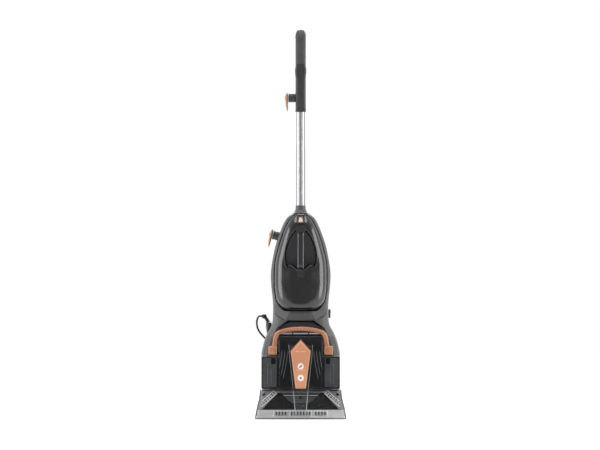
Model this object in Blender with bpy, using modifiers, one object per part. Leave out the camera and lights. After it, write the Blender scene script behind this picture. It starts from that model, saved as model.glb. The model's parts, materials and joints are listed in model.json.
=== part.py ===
"""Upright carpet cleaner: suction foot with a driven brush, two lift-off tanks and a reclining body.

Metres, +Z up, -Y is the front. The origin is on the floor, under the middle of the machine.
"""

from math import atan2, cos, pi, radians, sin, tan

import bmesh
import bpy
from mathutils import Matrix, Vector

# Driving dimensions
HEIGHT = 1.167
HALF_DEPTH = 0.183
NOZZLE_HALF_WIDTH = 0.1365
TANK_HALF_WIDTH = 0.1175
WALL = 0.0025
GAP = 0.0003
SEAM = 0.0012

# Recline pivot and the round rear of the foot
PIVOT_Y = 0.075
PIVOT_Z = 0.075
BARREL_RADIUS = HALF_DEPTH - PIVOT_Y
BARREL_HALF_WIDTH = 0.0915
HOOD_RADIUS = BARREL_RADIUS + 0.0035

# Brush, motor and belt
BRUSH_Y = -0.100
BRUSH_Z = 0.0255
BRUSH_RADIUS = 0.0243
CHAMBER_RADIUS = 0.0275
MOTOR_Y = -0.020
MOTOR_Z = 0.043
BRUSH_PULLEY_RADIUS = 0.0100
MOTOR_PULLEY_RADIUS = 0.0080
BELT_X = (0.0957, 0.1033)

# Rear wheels
WHEEL_RADIUS = 0.047
WHEEL_Y = 0.125
WHEEL_X = (0.1018, 0.1165)
AXLE_RADIUS = 0.0040
AXLE_BORE = 0.0046

# Dirty water tank
DECK_TOP = 0.0865
DIRTY_BOTTOM = 0.0895
DIRTY_POD_TOP = 0.1868
DIRTY_TOP = 0.2475
DIRTY_BACK = -0.0398
DIRTY_CENTRE_HALF_WIDTH = 0.0648
DIRTY_FRONT_BOTTOM = -0.150
DIRTY_FRONT_SLOPE = 0.27
DIRTY_ROLL_START = 0.200
DIRTY_ROLL_BACK = 4.0
HANDLE_Y = -0.100
HANDLE_Z = 0.200
HANDLE_LEAN = radians(5)

# Upright body, clean water tank and tube
BODY_MIDDLE_Y = 0.030
TANK_BACK_Y = -0.0205
TANK_BOTTOM = 0.3245
TUBE_RADIUS = 0.0135
TUBE_TOP = 0.950
STEM_BOTTOM = 0.919
STEM_HALF_WIDTH = 0.0155

# Mains cord
CORD_RADIUS = 0.003
COIL_CENTRE = (-0.005, 0.268)
COIL_RADIUS = 0.0365
COIL_HALF_WIDTH = 0.0132
COIL_HEIGHT = 0.0375
PLUG_CENTRE = (0.019, 0.268)

# Half-width, front and back of the upright body against height
BODY_WIDTH = [
    (0.150, 0.1185), (0.184, 0.1185), (0.221, 0.1120), (0.254, 0.1000), (0.278, 0.0872), (0.298, 0.0838),
    (0.330, 0.0832), (0.425, 0.0902), (0.494, 0.0812), (0.566, 0.0590), (0.602, 0.0405), (0.618, 0.0195),
]
BODY_FRONT_LOW = [(0.150, -0.0380), (0.254, -0.0390), (0.300, -0.0460), (0.314, -0.0460)]
BODY_FRONT_HIGH = [(0.3185, -0.0175), (0.586, -0.0165), (0.604, -0.0100), (0.618, 0.0105)]
BODY_BACK = [(0.150, 0.119), (0.240, 0.127), (0.340, 0.125), (0.450, 0.116), (0.560, 0.090), (0.618, 0.0495)]
BODY_LEVELS = (0.150, 0.184, 0.206, 0.226, 0.254, 0.276, 0.298, 0.314)
BODY_UPPER_LEVELS = (0.3185, 0.362, 0.425, 0.480, 0.525, 0.566, 0.592, 0.608, 0.618)

# Half-width and front of the clean water tank against height
TANK_WIDTH = [
    (0.3245, 0.046), (0.334, 0.060), (0.356, 0.073), (0.410, 0.0785), (0.456, 0.0775),
    (0.510, 0.0665), (0.560, 0.0505), (0.598, 0.0300), (0.612, 0.0150),
]
TANK_FRONT = [
    (0.3245, -0.0560), (0.333, -0.0690), (0.350, -0.0735), (0.430, -0.0745), (0.510, -0.0700),
    (0.580, -0.0540), (0.612, -0.0320),
]
TANK_LEVELS = (0.3245, 0.331, 0.343, 0.362, 0.400, 0.440, 0.480, 0.520, 0.558, 0.584, 0.602, 0.612)

# Finger recess in the clean water tank: right-hand half of its outline, in x and z
RECESS_HALF = [
    (0.016, 0.566), (0.037, 0.538), (0.047, 0.510), (0.050, 0.484), (0.047, 0.464),
    (0.042, 0.450), (0.034, 0.459), (0.020, 0.452), (0.013, 0.444),
]
RECESS_FLOOR_Y = -0.0255

# The cord's route from the boot to the coil
CORD_ROUTE = [
    (-0.1176, 0.0722, 0.3036), (-0.1235, 0.0786, 0.3040), (-0.1285, 0.0864, 0.3003),
    (-0.1316, 0.0945, 0.2922), (-0.1326, 0.1022, 0.2815), (-0.1310, 0.1092, 0.2694),
    (-0.1258, 0.1155, 0.2575), (-0.1175, 0.1216, 0.2465), (-0.1078, 0.1284, 0.2360),
    (-0.0980, 0.1372, 0.2225), (-0.0893, 0.1475, 0.2030), (-0.0822, 0.1590, 0.1740),
    (-0.0770, 0.1710, 0.1400), (-0.0740, 0.1850, 0.1030), (-0.0715, 0.1990, 0.0680),
    (-0.0680, 0.2160, 0.0370), (-0.0640, 0.2330, 0.0160), (-0.0600, 0.2520, 0.0060),
    (-0.0580, 0.2680, 0.0034),
]

for old in list(bpy.data.objects):
    bpy.data.objects.remove(old)

PARTS = bpy.data.collections.new("carpet_cleaner")
CUTTERS = bpy.data.collections.new("cutters")
bpy.context.scene.collection.children.link(PARTS)
bpy.context.scene.collection.children.link(CUTTERS)


def material(name, colour, roughness, metallic=0.0, alpha=1.0):
    made = bpy.data.materials.new(name)
    made.use_nodes = True
    shader = made.node_tree.nodes["Principled BSDF"]
    shader.inputs["Base Color"].default_value = (*colour, 1.0)
    shader.inputs["Roughness"].default_value = roughness
    shader.inputs["Metallic"].default_value = metallic
    shader.inputs["Alpha"].default_value = alpha
    return made


GRAPHITE = material("graphite", (0.13, 0.13, 0.135), 0.40)
BLACK = material("black", (0.015, 0.015, 0.016), 0.45)
RUBBER = material("rubber", (0.020, 0.020, 0.020), 0.80)
COPPER = material("copper", (0.62, 0.27, 0.14), 0.35, 0.3)
CHROME = material("chrome", (0.75, 0.75, 0.77), 0.12, 1.0)
STEEL = material("steel", (0.50, 0.50, 0.52), 0.35, 1.0)
SMOKED = material("smoked", (0.05, 0.05, 0.055), 0.10, 0.0, 0.7)
CLEAR = material("clear", (0.85, 0.86, 0.87), 0.10, 0.0, 0.4)


def add_object(name, data, look, angle=35):
    obj = bpy.data.objects.new(name, data)
    data.materials.append(look)
    PARTS.objects.link(obj)
    if obj.type == "MESH":
        data.shade_smooth()
        data.set_sharp_from_angle(angle=radians(angle))
    return obj


def add_bmesh(name, bm, look):
    mesh = bpy.data.meshes.new(name)
    bm.to_mesh(mesh)
    bm.free()
    return add_object(name, mesh, look)


def as_cutter(obj):
    PARTS.objects.unlink(obj)
    CUTTERS.objects.link(obj)
    obj.hide_render = True
    obj.display_type = "WIRE"


def combine(obj, other, operation):
    modifier = obj.modifiers.new(operation.lower(), "BOOLEAN")
    modifier.operation = operation
    modifier.solver = "EXACT"
    modifier.object = other
    if other.name in PARTS.objects:
        as_cutter(other)
    return obj


def cut(obj, *others):
    for other in others:
        combine(obj, other, "DIFFERENCE")
    return obj


def join(obj, *others):
    for other in others:
        combine(obj, other, "UNION")
    return obj


def bevel(obj, width, segments=2, angle=40):
    modifier = obj.modifiers.new("bevel", "BEVEL")
    modifier.width = width
    modifier.segments = segments
    modifier.limit_method = "ANGLE"
    modifier.angle_limit = radians(angle)
    return obj


def box(name, low, high, look, rounding=0.0, segments=2):
    size = [b - a for a, b in zip(low, high)]
    bm = bmesh.new()
    bmesh.ops.create_cube(bm, size=1.0, matrix=Matrix.Diagonal((*size, 1.0)))
    obj = add_bmesh(name, bm, look)
    obj.location = [(a + b) / 2 for a, b in zip(low, high)]
    if rounding:
        bevel(obj, rounding, segments)
    return obj


def rod(name, start, end, radius, look, sides=20, end_radius=None):
    start = Vector(start)
    end = Vector(end)
    bm = bmesh.new()
    bmesh.ops.create_cone(
        bm, cap_ends=True, segments=sides, radius1=radius,
        radius2=radius if end_radius is None else end_radius, depth=(end - start).length,
    )
    obj = add_bmesh(name, bm, look)
    obj.location = (start + end) / 2
    obj.rotation_euler = (end - start).to_track_quat("Z", "Y").to_euler()
    return obj


def turned(name, profile, centre, axis, look, steps=24, closed=False):
    """Turns a profile of (radius, height) points about the axis through the centre."""
    bm = bmesh.new()
    points = [bm.verts.new((radius, 0, height)) for radius, height in profile]
    for first, second in zip(points, points[1:]):
        bm.edges.new((first, second))
    if closed:
        bm.edges.new((points[-1], points[0]))
    obj = add_bmesh(name, bm, look)
    screw = obj.modifiers.new("screw", "SCREW")
    screw.steps = steps
    screw.render_steps = steps
    screw.use_merge_vertices = True
    screw.merge_threshold = 0.00005
    screw.use_smooth_shade = True
    obj.location = centre
    obj.rotation_euler = Vector(axis).to_track_quat("Z", "Y").to_euler()
    return obj


def plate(name, outlines, low, high, axis, look):
    """Extrudes flat outlines, the first one's outside and the others holes, from low to high along an axis."""
    curve = bpy.data.curves.new(name, "CURVE")
    curve.dimensions = "2D"
    curve.fill_mode = "BOTH"
    curve.extrude = (high - low) / 2
    for outline in outlines:
        spline = curve.splines.new("POLY")
        spline.points.add(len(outline) - 1)
        spline.use_cyclic_u = True
        for point, (u, v) in zip(spline.points, outline):
            point.co = (u, v, 0, 1)
    helper = bpy.data.objects.new(name + "_outline", curve)
    PARTS.objects.link(helper)
    turn = {
        "X": Matrix(((0, 0, 1), (1, 0, 0), (0, 1, 0))),
        "Y": Matrix(((1, 0, 0), (0, 0, -1), (0, 1, 0))),
        "Z": Matrix.Identity(3),
    }[axis]
    middle = Vector([(low + high) / 2 if axis == letter else 0 for letter in "XYZ"])
    helper.matrix_world = Matrix.Translation(middle) @ turn.to_4x4()
    bpy.context.view_layer.update()
    mesh = bpy.data.meshes.new_from_object(helper.evaluated_get(bpy.context.evaluated_depsgraph_get()))
    bm = bmesh.new()
    bm.from_mesh(mesh)
    bmesh.ops.remove_doubles(bm, verts=bm.verts, dist=0.00002)
    bmesh.ops.recalc_face_normals(bm, faces=bm.faces)
    bm.to_mesh(mesh)
    bm.free()
    mesh.materials.clear()
    obj = add_object(name, mesh, look)
    obj.matrix_world = helper.matrix_world
    bpy.data.objects.remove(helper)
    return obj


def rounded(corners, steps=4):
    """Rounds a polygon's corners: each corner is (u, v, radius)."""
    outline = []
    for i, (u, v, radius) in enumerate(corners):
        here = Vector((u, v))
        before = (Vector(corners[i - 1][:2]) - here).normalized()
        after = (Vector(corners[(i + 1) % len(corners)][:2]) - here).normalized()
        if not radius:
            outline.append((u, v))
            continue
        half = before.angle(after) / 2
        centre = here + (before + after).normalized() * (radius / sin(half))
        first = here + before * (radius / tan(half)) - centre
        last = here + after * (radius / tan(half)) - centre
        sweep = first.angle_signed(last)
        for step in range(steps + 1):
            turn = -sweep * step / steps
            outline.append((
                centre.x + first.x * cos(turn) - first.y * sin(turn),
                centre.y + first.x * sin(turn) + first.y * cos(turn),
            ))
    return outline


def arc(centre, radius, start, end, steps):
    angles = [start + (end - start) * i / steps for i in range(steps + 1)]
    return [(centre[0] + radius * cos(a), centre[1] + radius * sin(a)) for a in angles]


def mirrored(half):
    """Closes an outline whose right-hand half runs from top to bottom."""
    return half + [(-x, z) for x, z in reversed(half)]


def curve_at(stations, z):
    """Smooth value at z through the stations, without overshoot."""
    zs = [s[0] for s in stations]
    vs = [s[1] for s in stations]
    z = min(max(z, zs[0]), zs[-1])
    steep = [(vs[i + 1] - vs[i]) / (zs[i + 1] - zs[i]) for i in range(len(zs) - 1)]
    slopes = [steep[0]]
    for a, b in zip(steep, steep[1:]):
        slopes.append(0.0 if a * b <= 0 else 2 * a * b / (a + b))
    slopes.append(steep[-1])
    i = max(k for k in range(len(zs) - 1) if zs[k] <= z)
    span = zs[i + 1] - zs[i]
    t = (z - zs[i]) / span
    return (
        vs[i] * (2 * t**3 - 3 * t**2 + 1) + slopes[i] * span * (t**3 - 2 * t**2 + t)
        + vs[i + 1] * (3 * t**2 - 2 * t**3) + slopes[i + 1] * span * (t**3 - t**2)
    )


def half_ring(z, half_width, middle_y, end_y, power, count):
    """Half of a rounded section at height z, from +X round by end_y to -X."""
    ring = []
    for i in range(count + 1):
        angle = pi * i / count
        across = abs(cos(angle)) ** (2 / power)
        along = abs(sin(angle)) ** (2 / power)
        x = half_width * across * (1 if angle <= pi / 2 else -1)
        ring.append(Vector((x, middle_y + (end_y - middle_y) * along, z)))
    return ring


def surface(name, rings, look, flip=False, caps=(False, False), closed=False):
    """Faces between rings of points; caps close the first and the last ring."""
    bm = bmesh.new()
    rows = [[bm.verts.new(point) for point in ring] for ring in rings]
    for lower, upper in zip(rows, rows[1:]):
        pairs = list(zip(lower, upper))
        pairs = pairs + pairs[:1] if closed else pairs
        for (a, b), (c, d) in zip(pairs, pairs[1:]):
            bm.faces.new((a, b, d, c) if flip else (a, c, d, b))
    if caps[0]:
        bm.faces.new(rows[0] if flip else rows[0][::-1])
    if caps[1]:
        bm.faces.new(rows[-1][::-1] if flip else rows[-1])
    return add_bmesh(name, bm, look)


def solid_loft(name, rings, look):
    obj = surface(name, rings, look, caps=(True, True), closed=True)
    bm = bmesh.new()
    bm.from_mesh(obj.data)
    bmesh.ops.recalc_face_normals(bm, faces=bm.faces)
    bm.to_mesh(obj.data)
    bm.free()
    return obj


def thicken(obj, thickness=WALL):
    modifier = obj.modifiers.new("wall", "SOLIDIFY")
    modifier.thickness = thickness
    modifier.offset = -1
    return obj


def oval_ring(centre, half_x, half_y, power=2.5, count=12, tilt=0.0):
    """A level oval about a centre, leaned by tilt in the XZ plane."""
    ring = []
    for i in range(count):
        angle = 2 * pi * i / count
        x = half_x * abs(cos(angle)) ** (2 / power) * (1 if cos(angle) >= 0 else -1)
        y = half_y * abs(sin(angle)) ** (2 / power) * (1 if sin(angle) >= 0 else -1)
        ring.append(Vector(centre) + Vector((x * cos(tilt), y, x * sin(tilt))))
    return ring


def smooth_route(points, spacing):
    """Points on a smooth curve through the route's own points."""
    knots = [Vector(p) for p in points]
    knots = [2 * knots[0] - knots[1], *knots, 2 * knots[-1] - knots[-2]]
    route = []
    for a, b, c, d in zip(knots, knots[1:], knots[2:], knots[3:]):
        count = max(1, round((c - b).length / spacing))
        for i in range(count):
            t = i / count
            bend = (2 * a - 5 * b + 4 * c - d) * t**2 + (3 * b - a - 3 * c + d) * t**3
            route.append(0.5 * (2 * b + (c - a) * t + bend))
    route.append(knots[-2])
    return route


def wire(name, points, radius, look, resolution):
    curve = bpy.data.curves.new(name, "CURVE")
    curve.dimensions = "3D"
    curve.bevel_depth = radius
    curve.bevel_resolution = resolution
    curve.use_fill_caps = True
    spline = curve.splines.new("POLY")
    spline.points.add(len(points) - 1)
    for point, place in zip(spline.points, points):
        point.co = (*place, 1)
    return add_object(name, curve, look)


def group(name, place, members):
    """Parents the members to an empty on their joint's axis."""
    empty = bpy.data.objects.new(name, None)
    empty.location = place
    PARTS.objects.link(empty)
    for member in members:
        member.parent = empty
        member.matrix_parent_inverse = Matrix.Translation(-Vector(place))
    return empty


# ---------------------------------------------------------------- foot

def make_chassis():
    tray = box("base_chassis", (-0.0882, -0.0625, 0.010), (0.0882, 0.146, 0.040), BLACK, 0.004)
    return cut(tray, box("chassis_hollow", (-0.0855, -0.0595, 0.013), (0.0855, 0.143, 0.060), BLACK))


def make_barrel_cover():
    path = arc((PIVOT_Y, PIVOT_Z), BARREL_RADIUS, radians(172), radians(-20), 22)
    rings = [[Vector((x, y, z)) for y, z in path] for x in (-BARREL_HALF_WIDTH, BARREL_HALF_WIDTH)]
    return thicken(surface("base_top_cover", rings, GRAPHITE, flip=True))


def make_side_plate(name, side):
    radius = BARREL_RADIUS - WALL - 0.0008
    start = atan2(0.012 - PIVOT_Z, (radius**2 - (0.012 - PIVOT_Z) ** 2) ** 0.5)
    outline = arc((PIVOT_Y, PIVOT_Z), radius, start, radians(176), 16) + [(-0.062, 0.0822), (-0.062, 0.012)]
    low, high = sorted((side * 0.0886, side * BARREL_HALF_WIDTH))
    side_plate = plate(name, [outline], low, high, "X", GRAPHITE)
    bore_ends = (low - 0.01, WHEEL_Y, WHEEL_RADIUS), (high + 0.01, WHEEL_Y, WHEEL_RADIUS)
    bore = rod(name + "_bore", *bore_ends, AXLE_BORE, BLACK, 12)
    return cut(side_plate, bore)


def make_brush_housing():
    def section(z, half_width, front, back):
        corners = (half_width, back), (-half_width, back), (-half_width, front), (half_width, front)
        return [Vector((x, y, z)) for x, y in corners]

    hood = solid_loft("brush_housing", [
        section(0.0275, 0.117, -0.1600, -0.1290),
        section(0.0800, 0.066, -0.1345, -0.1290),
    ], BLACK)
    block = box("housing_block", (-0.0925, -0.1300, 0.010), (0.0925, -0.0700, 0.0790), BLACK, 0.004)
    chamber_ends = (-0.087, BRUSH_Y, BRUSH_Z), (0.087, BRUSH_Y, BRUSH_Z)
    chamber = rod("brush_chamber", *chamber_ends, CHAMBER_RADIUS, BLACK, 24)
    mouth = box("brush_mouth", (-0.087, BRUSH_Y - 0.0274, 0.0), (0.087, BRUSH_Y + 0.0274, BRUSH_Z), BLACK)
    bore = rod("brush_bore", (-0.100, BRUSH_Y, BRUSH_Z), (0.100, BRUSH_Y, BRUSH_Z), AXLE_BORE, BLACK, 12)
    join(hood, block)
    return cut(hood, chamber, mouth, bore)


def nozzle_face_y(z):
    return -HALF_DEPTH + 0.0430 * z / 0.0885


def make_nozzle_cover():
    widths = (0.0013, NOZZLE_HALF_WIDTH), (0.014, 0.135), (0.038, 0.1305), (0.062, 0.1245), (0.0885, 0.1213)
    rings = []
    for z, half_width in widths:
        front = nozzle_face_y(z)
        back = -0.112
        corner = 0.010
        ring = [(half_width, back), (half_width, front + corner)]
        ring += [(half_width - corner * 0.3, front + corner * 0.3)]
        ring += [(half_width - corner, front), (half_width - 0.05, front)]
        ring += [(-x, y) for x, y in reversed(ring)]
        rings.append([Vector((x, y, z)) for x, y in ring])
    return thicken(surface("nozzle_cover", rings, CLEAR, flip=True), 0.003)


def duct_section(z, half_width, face, depth):
    back = face - GAP
    front = face - depth
    corners = (half_width, back), (-half_width, back), (-half_width, front), (half_width, front)
    return [Vector((x, y, z)) for x, y in corners]


def make_nozzle_duct():
    rings = [duct_section(0.014, 0.0165, nozzle_face_y(0.014), 0.0055)]
    rings.append(duct_section(0.0882, 0.0233, nozzle_face_y(0.0882), 0.0055))
    return solid_loft("nozzle_duct", rings, CLEAR)


def make_drive():
    motor = rod("brush_motor", (-0.010, MOTOR_Y, MOTOR_Z), (0.072, MOTOR_Y, MOTOR_Z), 0.0185, STEEL, 20)
    pulley_profile = [
        (0, 0.0075), (MOTOR_PULLEY_RADIUS, 0.0075), (MOTOR_PULLEY_RADIUS, 0.0),
        (0.0035, 0.0), (0.0035, -0.0225), (0, -0.0225),
    ]
    motor_pulley = turned("motor_pulley", pulley_profile, (BELT_X[0], MOTOR_Y, MOTOR_Z), (1, 0, 0), STEEL, 16)
    shaft_hole = rod("shaft_hole", (0.080, MOTOR_Y, MOTOR_Z), (0.100, MOTOR_Y, MOTOR_Z), AXLE_BORE, BLACK, 12)
    reach = Vector((MOTOR_Y - BRUSH_Y, MOTOR_Z - BRUSH_Z))
    tilt = atan2(reach.y, reach.x)

    def loop(extra):
        rear = arc((MOTOR_Y, MOTOR_Z), MOTOR_PULLEY_RADIUS + extra, tilt - pi / 2, tilt + pi / 2, 10)
        front = arc((BRUSH_Y, BRUSH_Z), BRUSH_PULLEY_RADIUS + extra, tilt + pi / 2, tilt + 3 * pi / 2, 10)
        return rear + front

    low, high = BELT_X[0] + 2 * GAP, BELT_X[1] - 2 * GAP
    belt = plate("drive_belt", [loop(0.0025), loop(0.0008)], low, high, "X", RUBBER)
    cover = box("belt_cover", (0.0934, -0.1268, 0.010), (0.1085, 0.004, 0.064), BLACK, 0.003)
    cut(cover, box("cover_hollow", (0.0900, -0.1240, 0.0125), (0.1060, 0.0012, 0.0612), BLACK))
    return motor, motor_pulley, belt, cover, shaft_hole


def make_brush():
    profile = [(0, 0.0905), (0.0040, 0.0905), (0.0040, 0.0855), (0.0150, 0.0855)]
    rows = 5
    pitch = 0.166 / rows
    for row in range(rows):
        top = 0.083 - row * pitch
        low = top - pitch
        profile += [(0.0150, top), (BRUSH_RADIUS, top - 0.002)]
        profile += [(BRUSH_RADIUS, low + 0.006), (0.0150, low + 0.004)]
    profile += [(0.0150, -0.0855), (0.0040, -0.0855), (0.0040, -0.0905), (0, -0.0905)]
    roller = turned("brush_roller", profile, (0, BRUSH_Y, BRUSH_Z), (1, 0, 0), RUBBER, 14)
    pulley = rod("brush_pulley", (0.0908, BRUSH_Y, BRUSH_Z), (0.0955, BRUSH_Y, BRUSH_Z), AXLE_RADIUS, BLACK, 16)
    disc_ends = (0.0950, BRUSH_Y, BRUSH_Z), (BELT_X[1], BRUSH_Y, BRUSH_Z)
    join(pulley, rod("pulley_disc", *disc_ends, BRUSH_PULLEY_RADIUS, BLACK, 20))
    return roller, pulley


def make_wheel(name, side):
    inner = WHEEL_X[0] * side
    thick = WHEEL_X[1] - WHEEL_X[0]
    profile = [
        (AXLE_BORE, 0.0), (AXLE_BORE, 0.0105), (0.013, 0.0115), (0.030, 0.0085), (0.034, thick),
        (WHEEL_RADIUS - 0.003, thick), (WHEEL_RADIUS, thick - 0.003),
        (WHEEL_RADIUS, 0.003), (WHEEL_RADIUS - 0.003, 0.0),
    ]
    return turned(name, profile, (inner, WHEEL_Y, WHEEL_RADIUS), (side, 0, 0), RUBBER, 24, closed=True)


def make_pedal():
    outline = rounded([
        (0.1475, 0.0330, 0.002), (0.1475, 0.0240, 0.002), (0.1650, 0.0200, 0.002),
        (0.1820, 0.0215, 0.002), (0.1820, 0.0265, 0.002), (0.1600, 0.0300, 0.002),
    ], 2)
    return plate("recline_pedal", [outline], -0.075, -0.030, "X", COPPER)


def make_foot():
    make_chassis()
    make_barrel_cover()
    box("tank_deck", (-0.1165, -0.1340, 0.0830), (0.1165, -0.0365, DECK_TOP), BLACK, 0.001, 1)
    left = make_side_plate("base_side_left", -1)
    right = make_side_plate("base_side_right", 1)
    make_brush_housing()
    make_nozzle_cover()
    make_nozzle_duct()
    box("squeegee", (-0.0900, -0.0695, 0.0), (0.0900, -0.0655, 0.0300), RUBBER)
    motor, motor_pulley, belt, cover, shaft_hole = make_drive()
    cut(right, shaft_hole)
    roller, brush_pulley = make_brush()
    group("brush_axis", (0, BRUSH_Y, BRUSH_Z), [roller, brush_pulley])
    group("motor_axis", (0, MOTOR_Y, MOTOR_Z), [motor_pulley])
    rod("rear_axle", (-0.1115, WHEEL_Y, WHEEL_RADIUS), (0.1115, WHEEL_Y, WHEEL_RADIUS), AXLE_RADIUS, STEEL, 14)
    for name, side in (("left", -1), ("right", 1)):
        shank_ends = (side * 0.0918, PIVOT_Y, PIVOT_Z), (side * 0.0992, PIVOT_Y, PIVOT_Z)
        pin = rod("pivot_pin_" + name, *shank_ends, 0.0060, STEEL, 16)
        head_ends = (side * 0.0990, PIVOT_Y, PIVOT_Z), (side * 0.1008, PIVOT_Y, PIVOT_Z)
        join(pin, rod("pin_head", *head_ends, 0.0090, STEEL, 16))
        wheel = make_wheel("wheel_" + name, side)
        group("wheel_axis_" + name, (0, WHEEL_Y, WHEEL_RADIUS), [wheel])
    group("pedal_axis", (0, 0.150, 0.0285), [make_pedal()])


# ---------------------------------------------------------------- dirty water tank

def dirty_front_y(z):
    """The tank's front: a straight slope that rolls back near the top."""
    straight = DIRTY_FRONT_BOTTOM + DIRTY_FRONT_SLOPE * (z - DIRTY_BOTTOM)
    return straight + DIRTY_ROLL_BACK * max(0.0, z - DIRTY_ROLL_START) ** 2


def dirty_side_outline(bottom, top, inset):
    levels = [bottom, 0.150, min(top, DIRTY_POD_TOP)]
    levels += [0.207, 0.222, 0.236, top] if top > DIRTY_POD_TOP else []
    front = [(dirty_front_y(z) + inset, z) for z in levels]
    return front + [(DIRTY_BACK - inset, levels[-1]), (DIRTY_BACK - inset, levels[0])]


def make_dirty_shell():
    outline = dirty_side_outline(DIRTY_BOTTOM, DIRTY_POD_TOP, 0.0)
    pods = plate("dirty_tank_shell", [outline], -TANK_HALF_WIDTH, TANK_HALF_WIDTH, "X", SMOKED)
    bevel(pods, 0.004, 2)
    outline = dirty_side_outline(DIRTY_BOTTOM + 0.020, DIRTY_TOP, GAP)
    join(pods, plate("dirty_centre", [outline], -DIRTY_CENTRE_HALF_WIDTH, DIRTY_CENTRE_HALF_WIDTH, "X", SMOKED))
    for side in (-1, 1):
        boss_ends = (side * 0.062, HANDLE_Y, HANDLE_Z), (side * 0.0710, HANDLE_Y, HANDLE_Z)
        join(pods, rod("handle_boss", *boss_ends, 0.0055, SMOKED, 12))
    pod_half = TANK_HALF_WIDTH - WALL
    centre_half = DIRTY_CENTRE_HALF_WIDTH - WALL
    outline = dirty_side_outline(DIRTY_BOTTOM + WALL, DIRTY_POD_TOP - WALL, WALL)
    low = plate("pod_hollow", [outline], -pod_half, pod_half, "X", SMOKED)
    outline = dirty_side_outline(DIRTY_BOTTOM + 0.020, DIRTY_TOP + 0.010, WALL + GAP)
    high = plate("centre_hollow", [outline], -centre_half, centre_half, "X", SMOKED)
    return cut(pods, low, high)


def make_tank_duct():
    widths = (0.0900, 0.0233), (0.150, 0.0300), (0.1985, 0.0350), (0.213, 0.0364), (0.221, 0.0370)
    rings = [duct_section(z, half_width, dirty_front_y(z), 0.0060) for z, half_width in widths]
    return solid_loft("tank_duct", rings, CLEAR)


def make_front_plate():
    """Flat pencil-shaped plate, leaning with the tank's front."""
    half = [(0.0, 0.236), (0.030, 0.203), (0.015, 0.0912)]
    outline = half + [(-x, z) for x, z in reversed(half[1:])]
    front = []
    back = []
    for x, z in outline:
        face = DIRTY_FRONT_BOTTOM + DIRTY_FRONT_SLOPE * (z - DIRTY_BOTTOM) - 0.0064
        front.append(Vector((x, face - 0.002, z)))
        back.append(Vector((x, face, z)))
    return solid_loft("front_plate", [back, front], COPPER)


def make_carry_handle():
    outer = [(0.097, 0.1885), (0.097, 0.216), (0.0835, 0.220), (0.0825, 0.240), (0.0790, 0.251)]
    inner = [(0.072, 0.1885), (0.072, 0.214), (0.0695, 0.222), (0.0690, 0.238), (0.0665, 0.2465)]
    angles = [pi / 12 * i for i in range(1, 12)]
    outer_arch = [(0.0790 * cos(a), 0.251 + 0.027 * sin(a)) for a in angles]
    inner_arch = [(0.0665 * cos(a), 0.2465 + 0.0195 * sin(a)) for a in angles]
    outline = outer + outer_arch + [(-x, z) for x, z in reversed(outer)]
    outline += [(-x, z) for x, z in inner] + [(-x, z) for x, z in inner_arch] + inner[::-1]
    bail = plate("carry_handle", [outline], -0.0055, 0.0055, "Y", COPPER)
    lean = Matrix.Rotation(-HANDLE_LEAN, 4, "X")
    pivot = Matrix.Translation((0, HANDLE_Y, HANDLE_Z))
    bail.matrix_world = pivot @ lean @ Matrix.Translation((0, 0, -HANDLE_Z)) @ bail.matrix_world
    return bevel(bail, 0.0015, 1)


def make_dirty_tank():
    shell = make_dirty_shell()
    lid = box("dirty_tank_lid", (-0.0643, -0.0840, DIRTY_TOP + GAP), (0.0643, -0.0403, 0.2555), SMOKED, 0.003)
    duct = make_tank_duct()
    front_plate = make_front_plate()
    floater = rod("tank_float", (0, -0.080, 0.165), (0, -0.080, 0.195), 0.016, CLEAR, 16)
    handle = make_carry_handle()
    group("dirty_tank_axis", (0, -0.09, DIRTY_BOTTOM), [shell, lid, duct, front_plate])
    group("float_axis", (0, -0.080, 0.165), [floater])
    group("carry_handle_axis", (0, HANDLE_Y, HANDLE_Z), [handle])


# ---------------------------------------------------------------- upright body

def hood_cutter(name):
    """The round clearance that lets the body turn over the foot."""
    reach = (-0.2, PIVOT_Y, PIVOT_Z), (0.2, PIVOT_Y, PIVOT_Z)
    return rod(name, *reach, HOOD_RADIUS, BLACK, 48)


def hook_cutter(name):
    return rod(name, (-0.050, BODY_MIDDLE_Y, 0.5400), (-0.090, BODY_MIDDLE_Y, 0.5507), 0.0140, BLACK, 20)


def make_front_shell():
    rings = []
    for z in BODY_LEVELS:
        front = curve_at(BODY_FRONT_LOW, z)
        rings.append(half_ring(z, curve_at(BODY_WIDTH, z), BODY_MIDDLE_Y - SEAM / 2, front, 4.0, 12))
    for z in BODY_UPPER_LEVELS:
        front = curve_at(BODY_FRONT_HIGH, z)
        power = 7.0 if z < 0.610 else 2.2
        rings.append(half_ring(z, curve_at(BODY_WIDTH, z), BODY_MIDDLE_Y - SEAM / 2, front, power, 12))
    shell = thicken(surface("body_front_shell", rings, GRAPHITE, flip=True))
    return cut(shell, hood_cutter("front_hood_cut"), hook_cutter("front_hook_cut"))


def make_rear_shell():
    rings = []
    for z in BODY_LEVELS + BODY_UPPER_LEVELS:
        back = curve_at(BODY_BACK, z)
        power = 2.8 if z < 0.610 else 2.2
        rings.append(half_ring(z, curve_at(BODY_WIDTH, z), BODY_MIDDLE_Y + SEAM / 2, back, power, 12))
    shell = thicken(surface("body_rear_shell", rings, GRAPHITE))
    vent = box("vent_window", (-0.031, 0.110, 0.2280), (0.031, 0.140, 0.2720), BLACK)
    switch_window = box("switch_window", (-0.0110, 0.100, 0.3325), (0.0110, 0.140, 0.3640), BLACK)
    return cut(shell, hood_cutter("rear_hood_cut"), hook_cutter("rear_hook_cut"), vent, switch_window)


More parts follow.
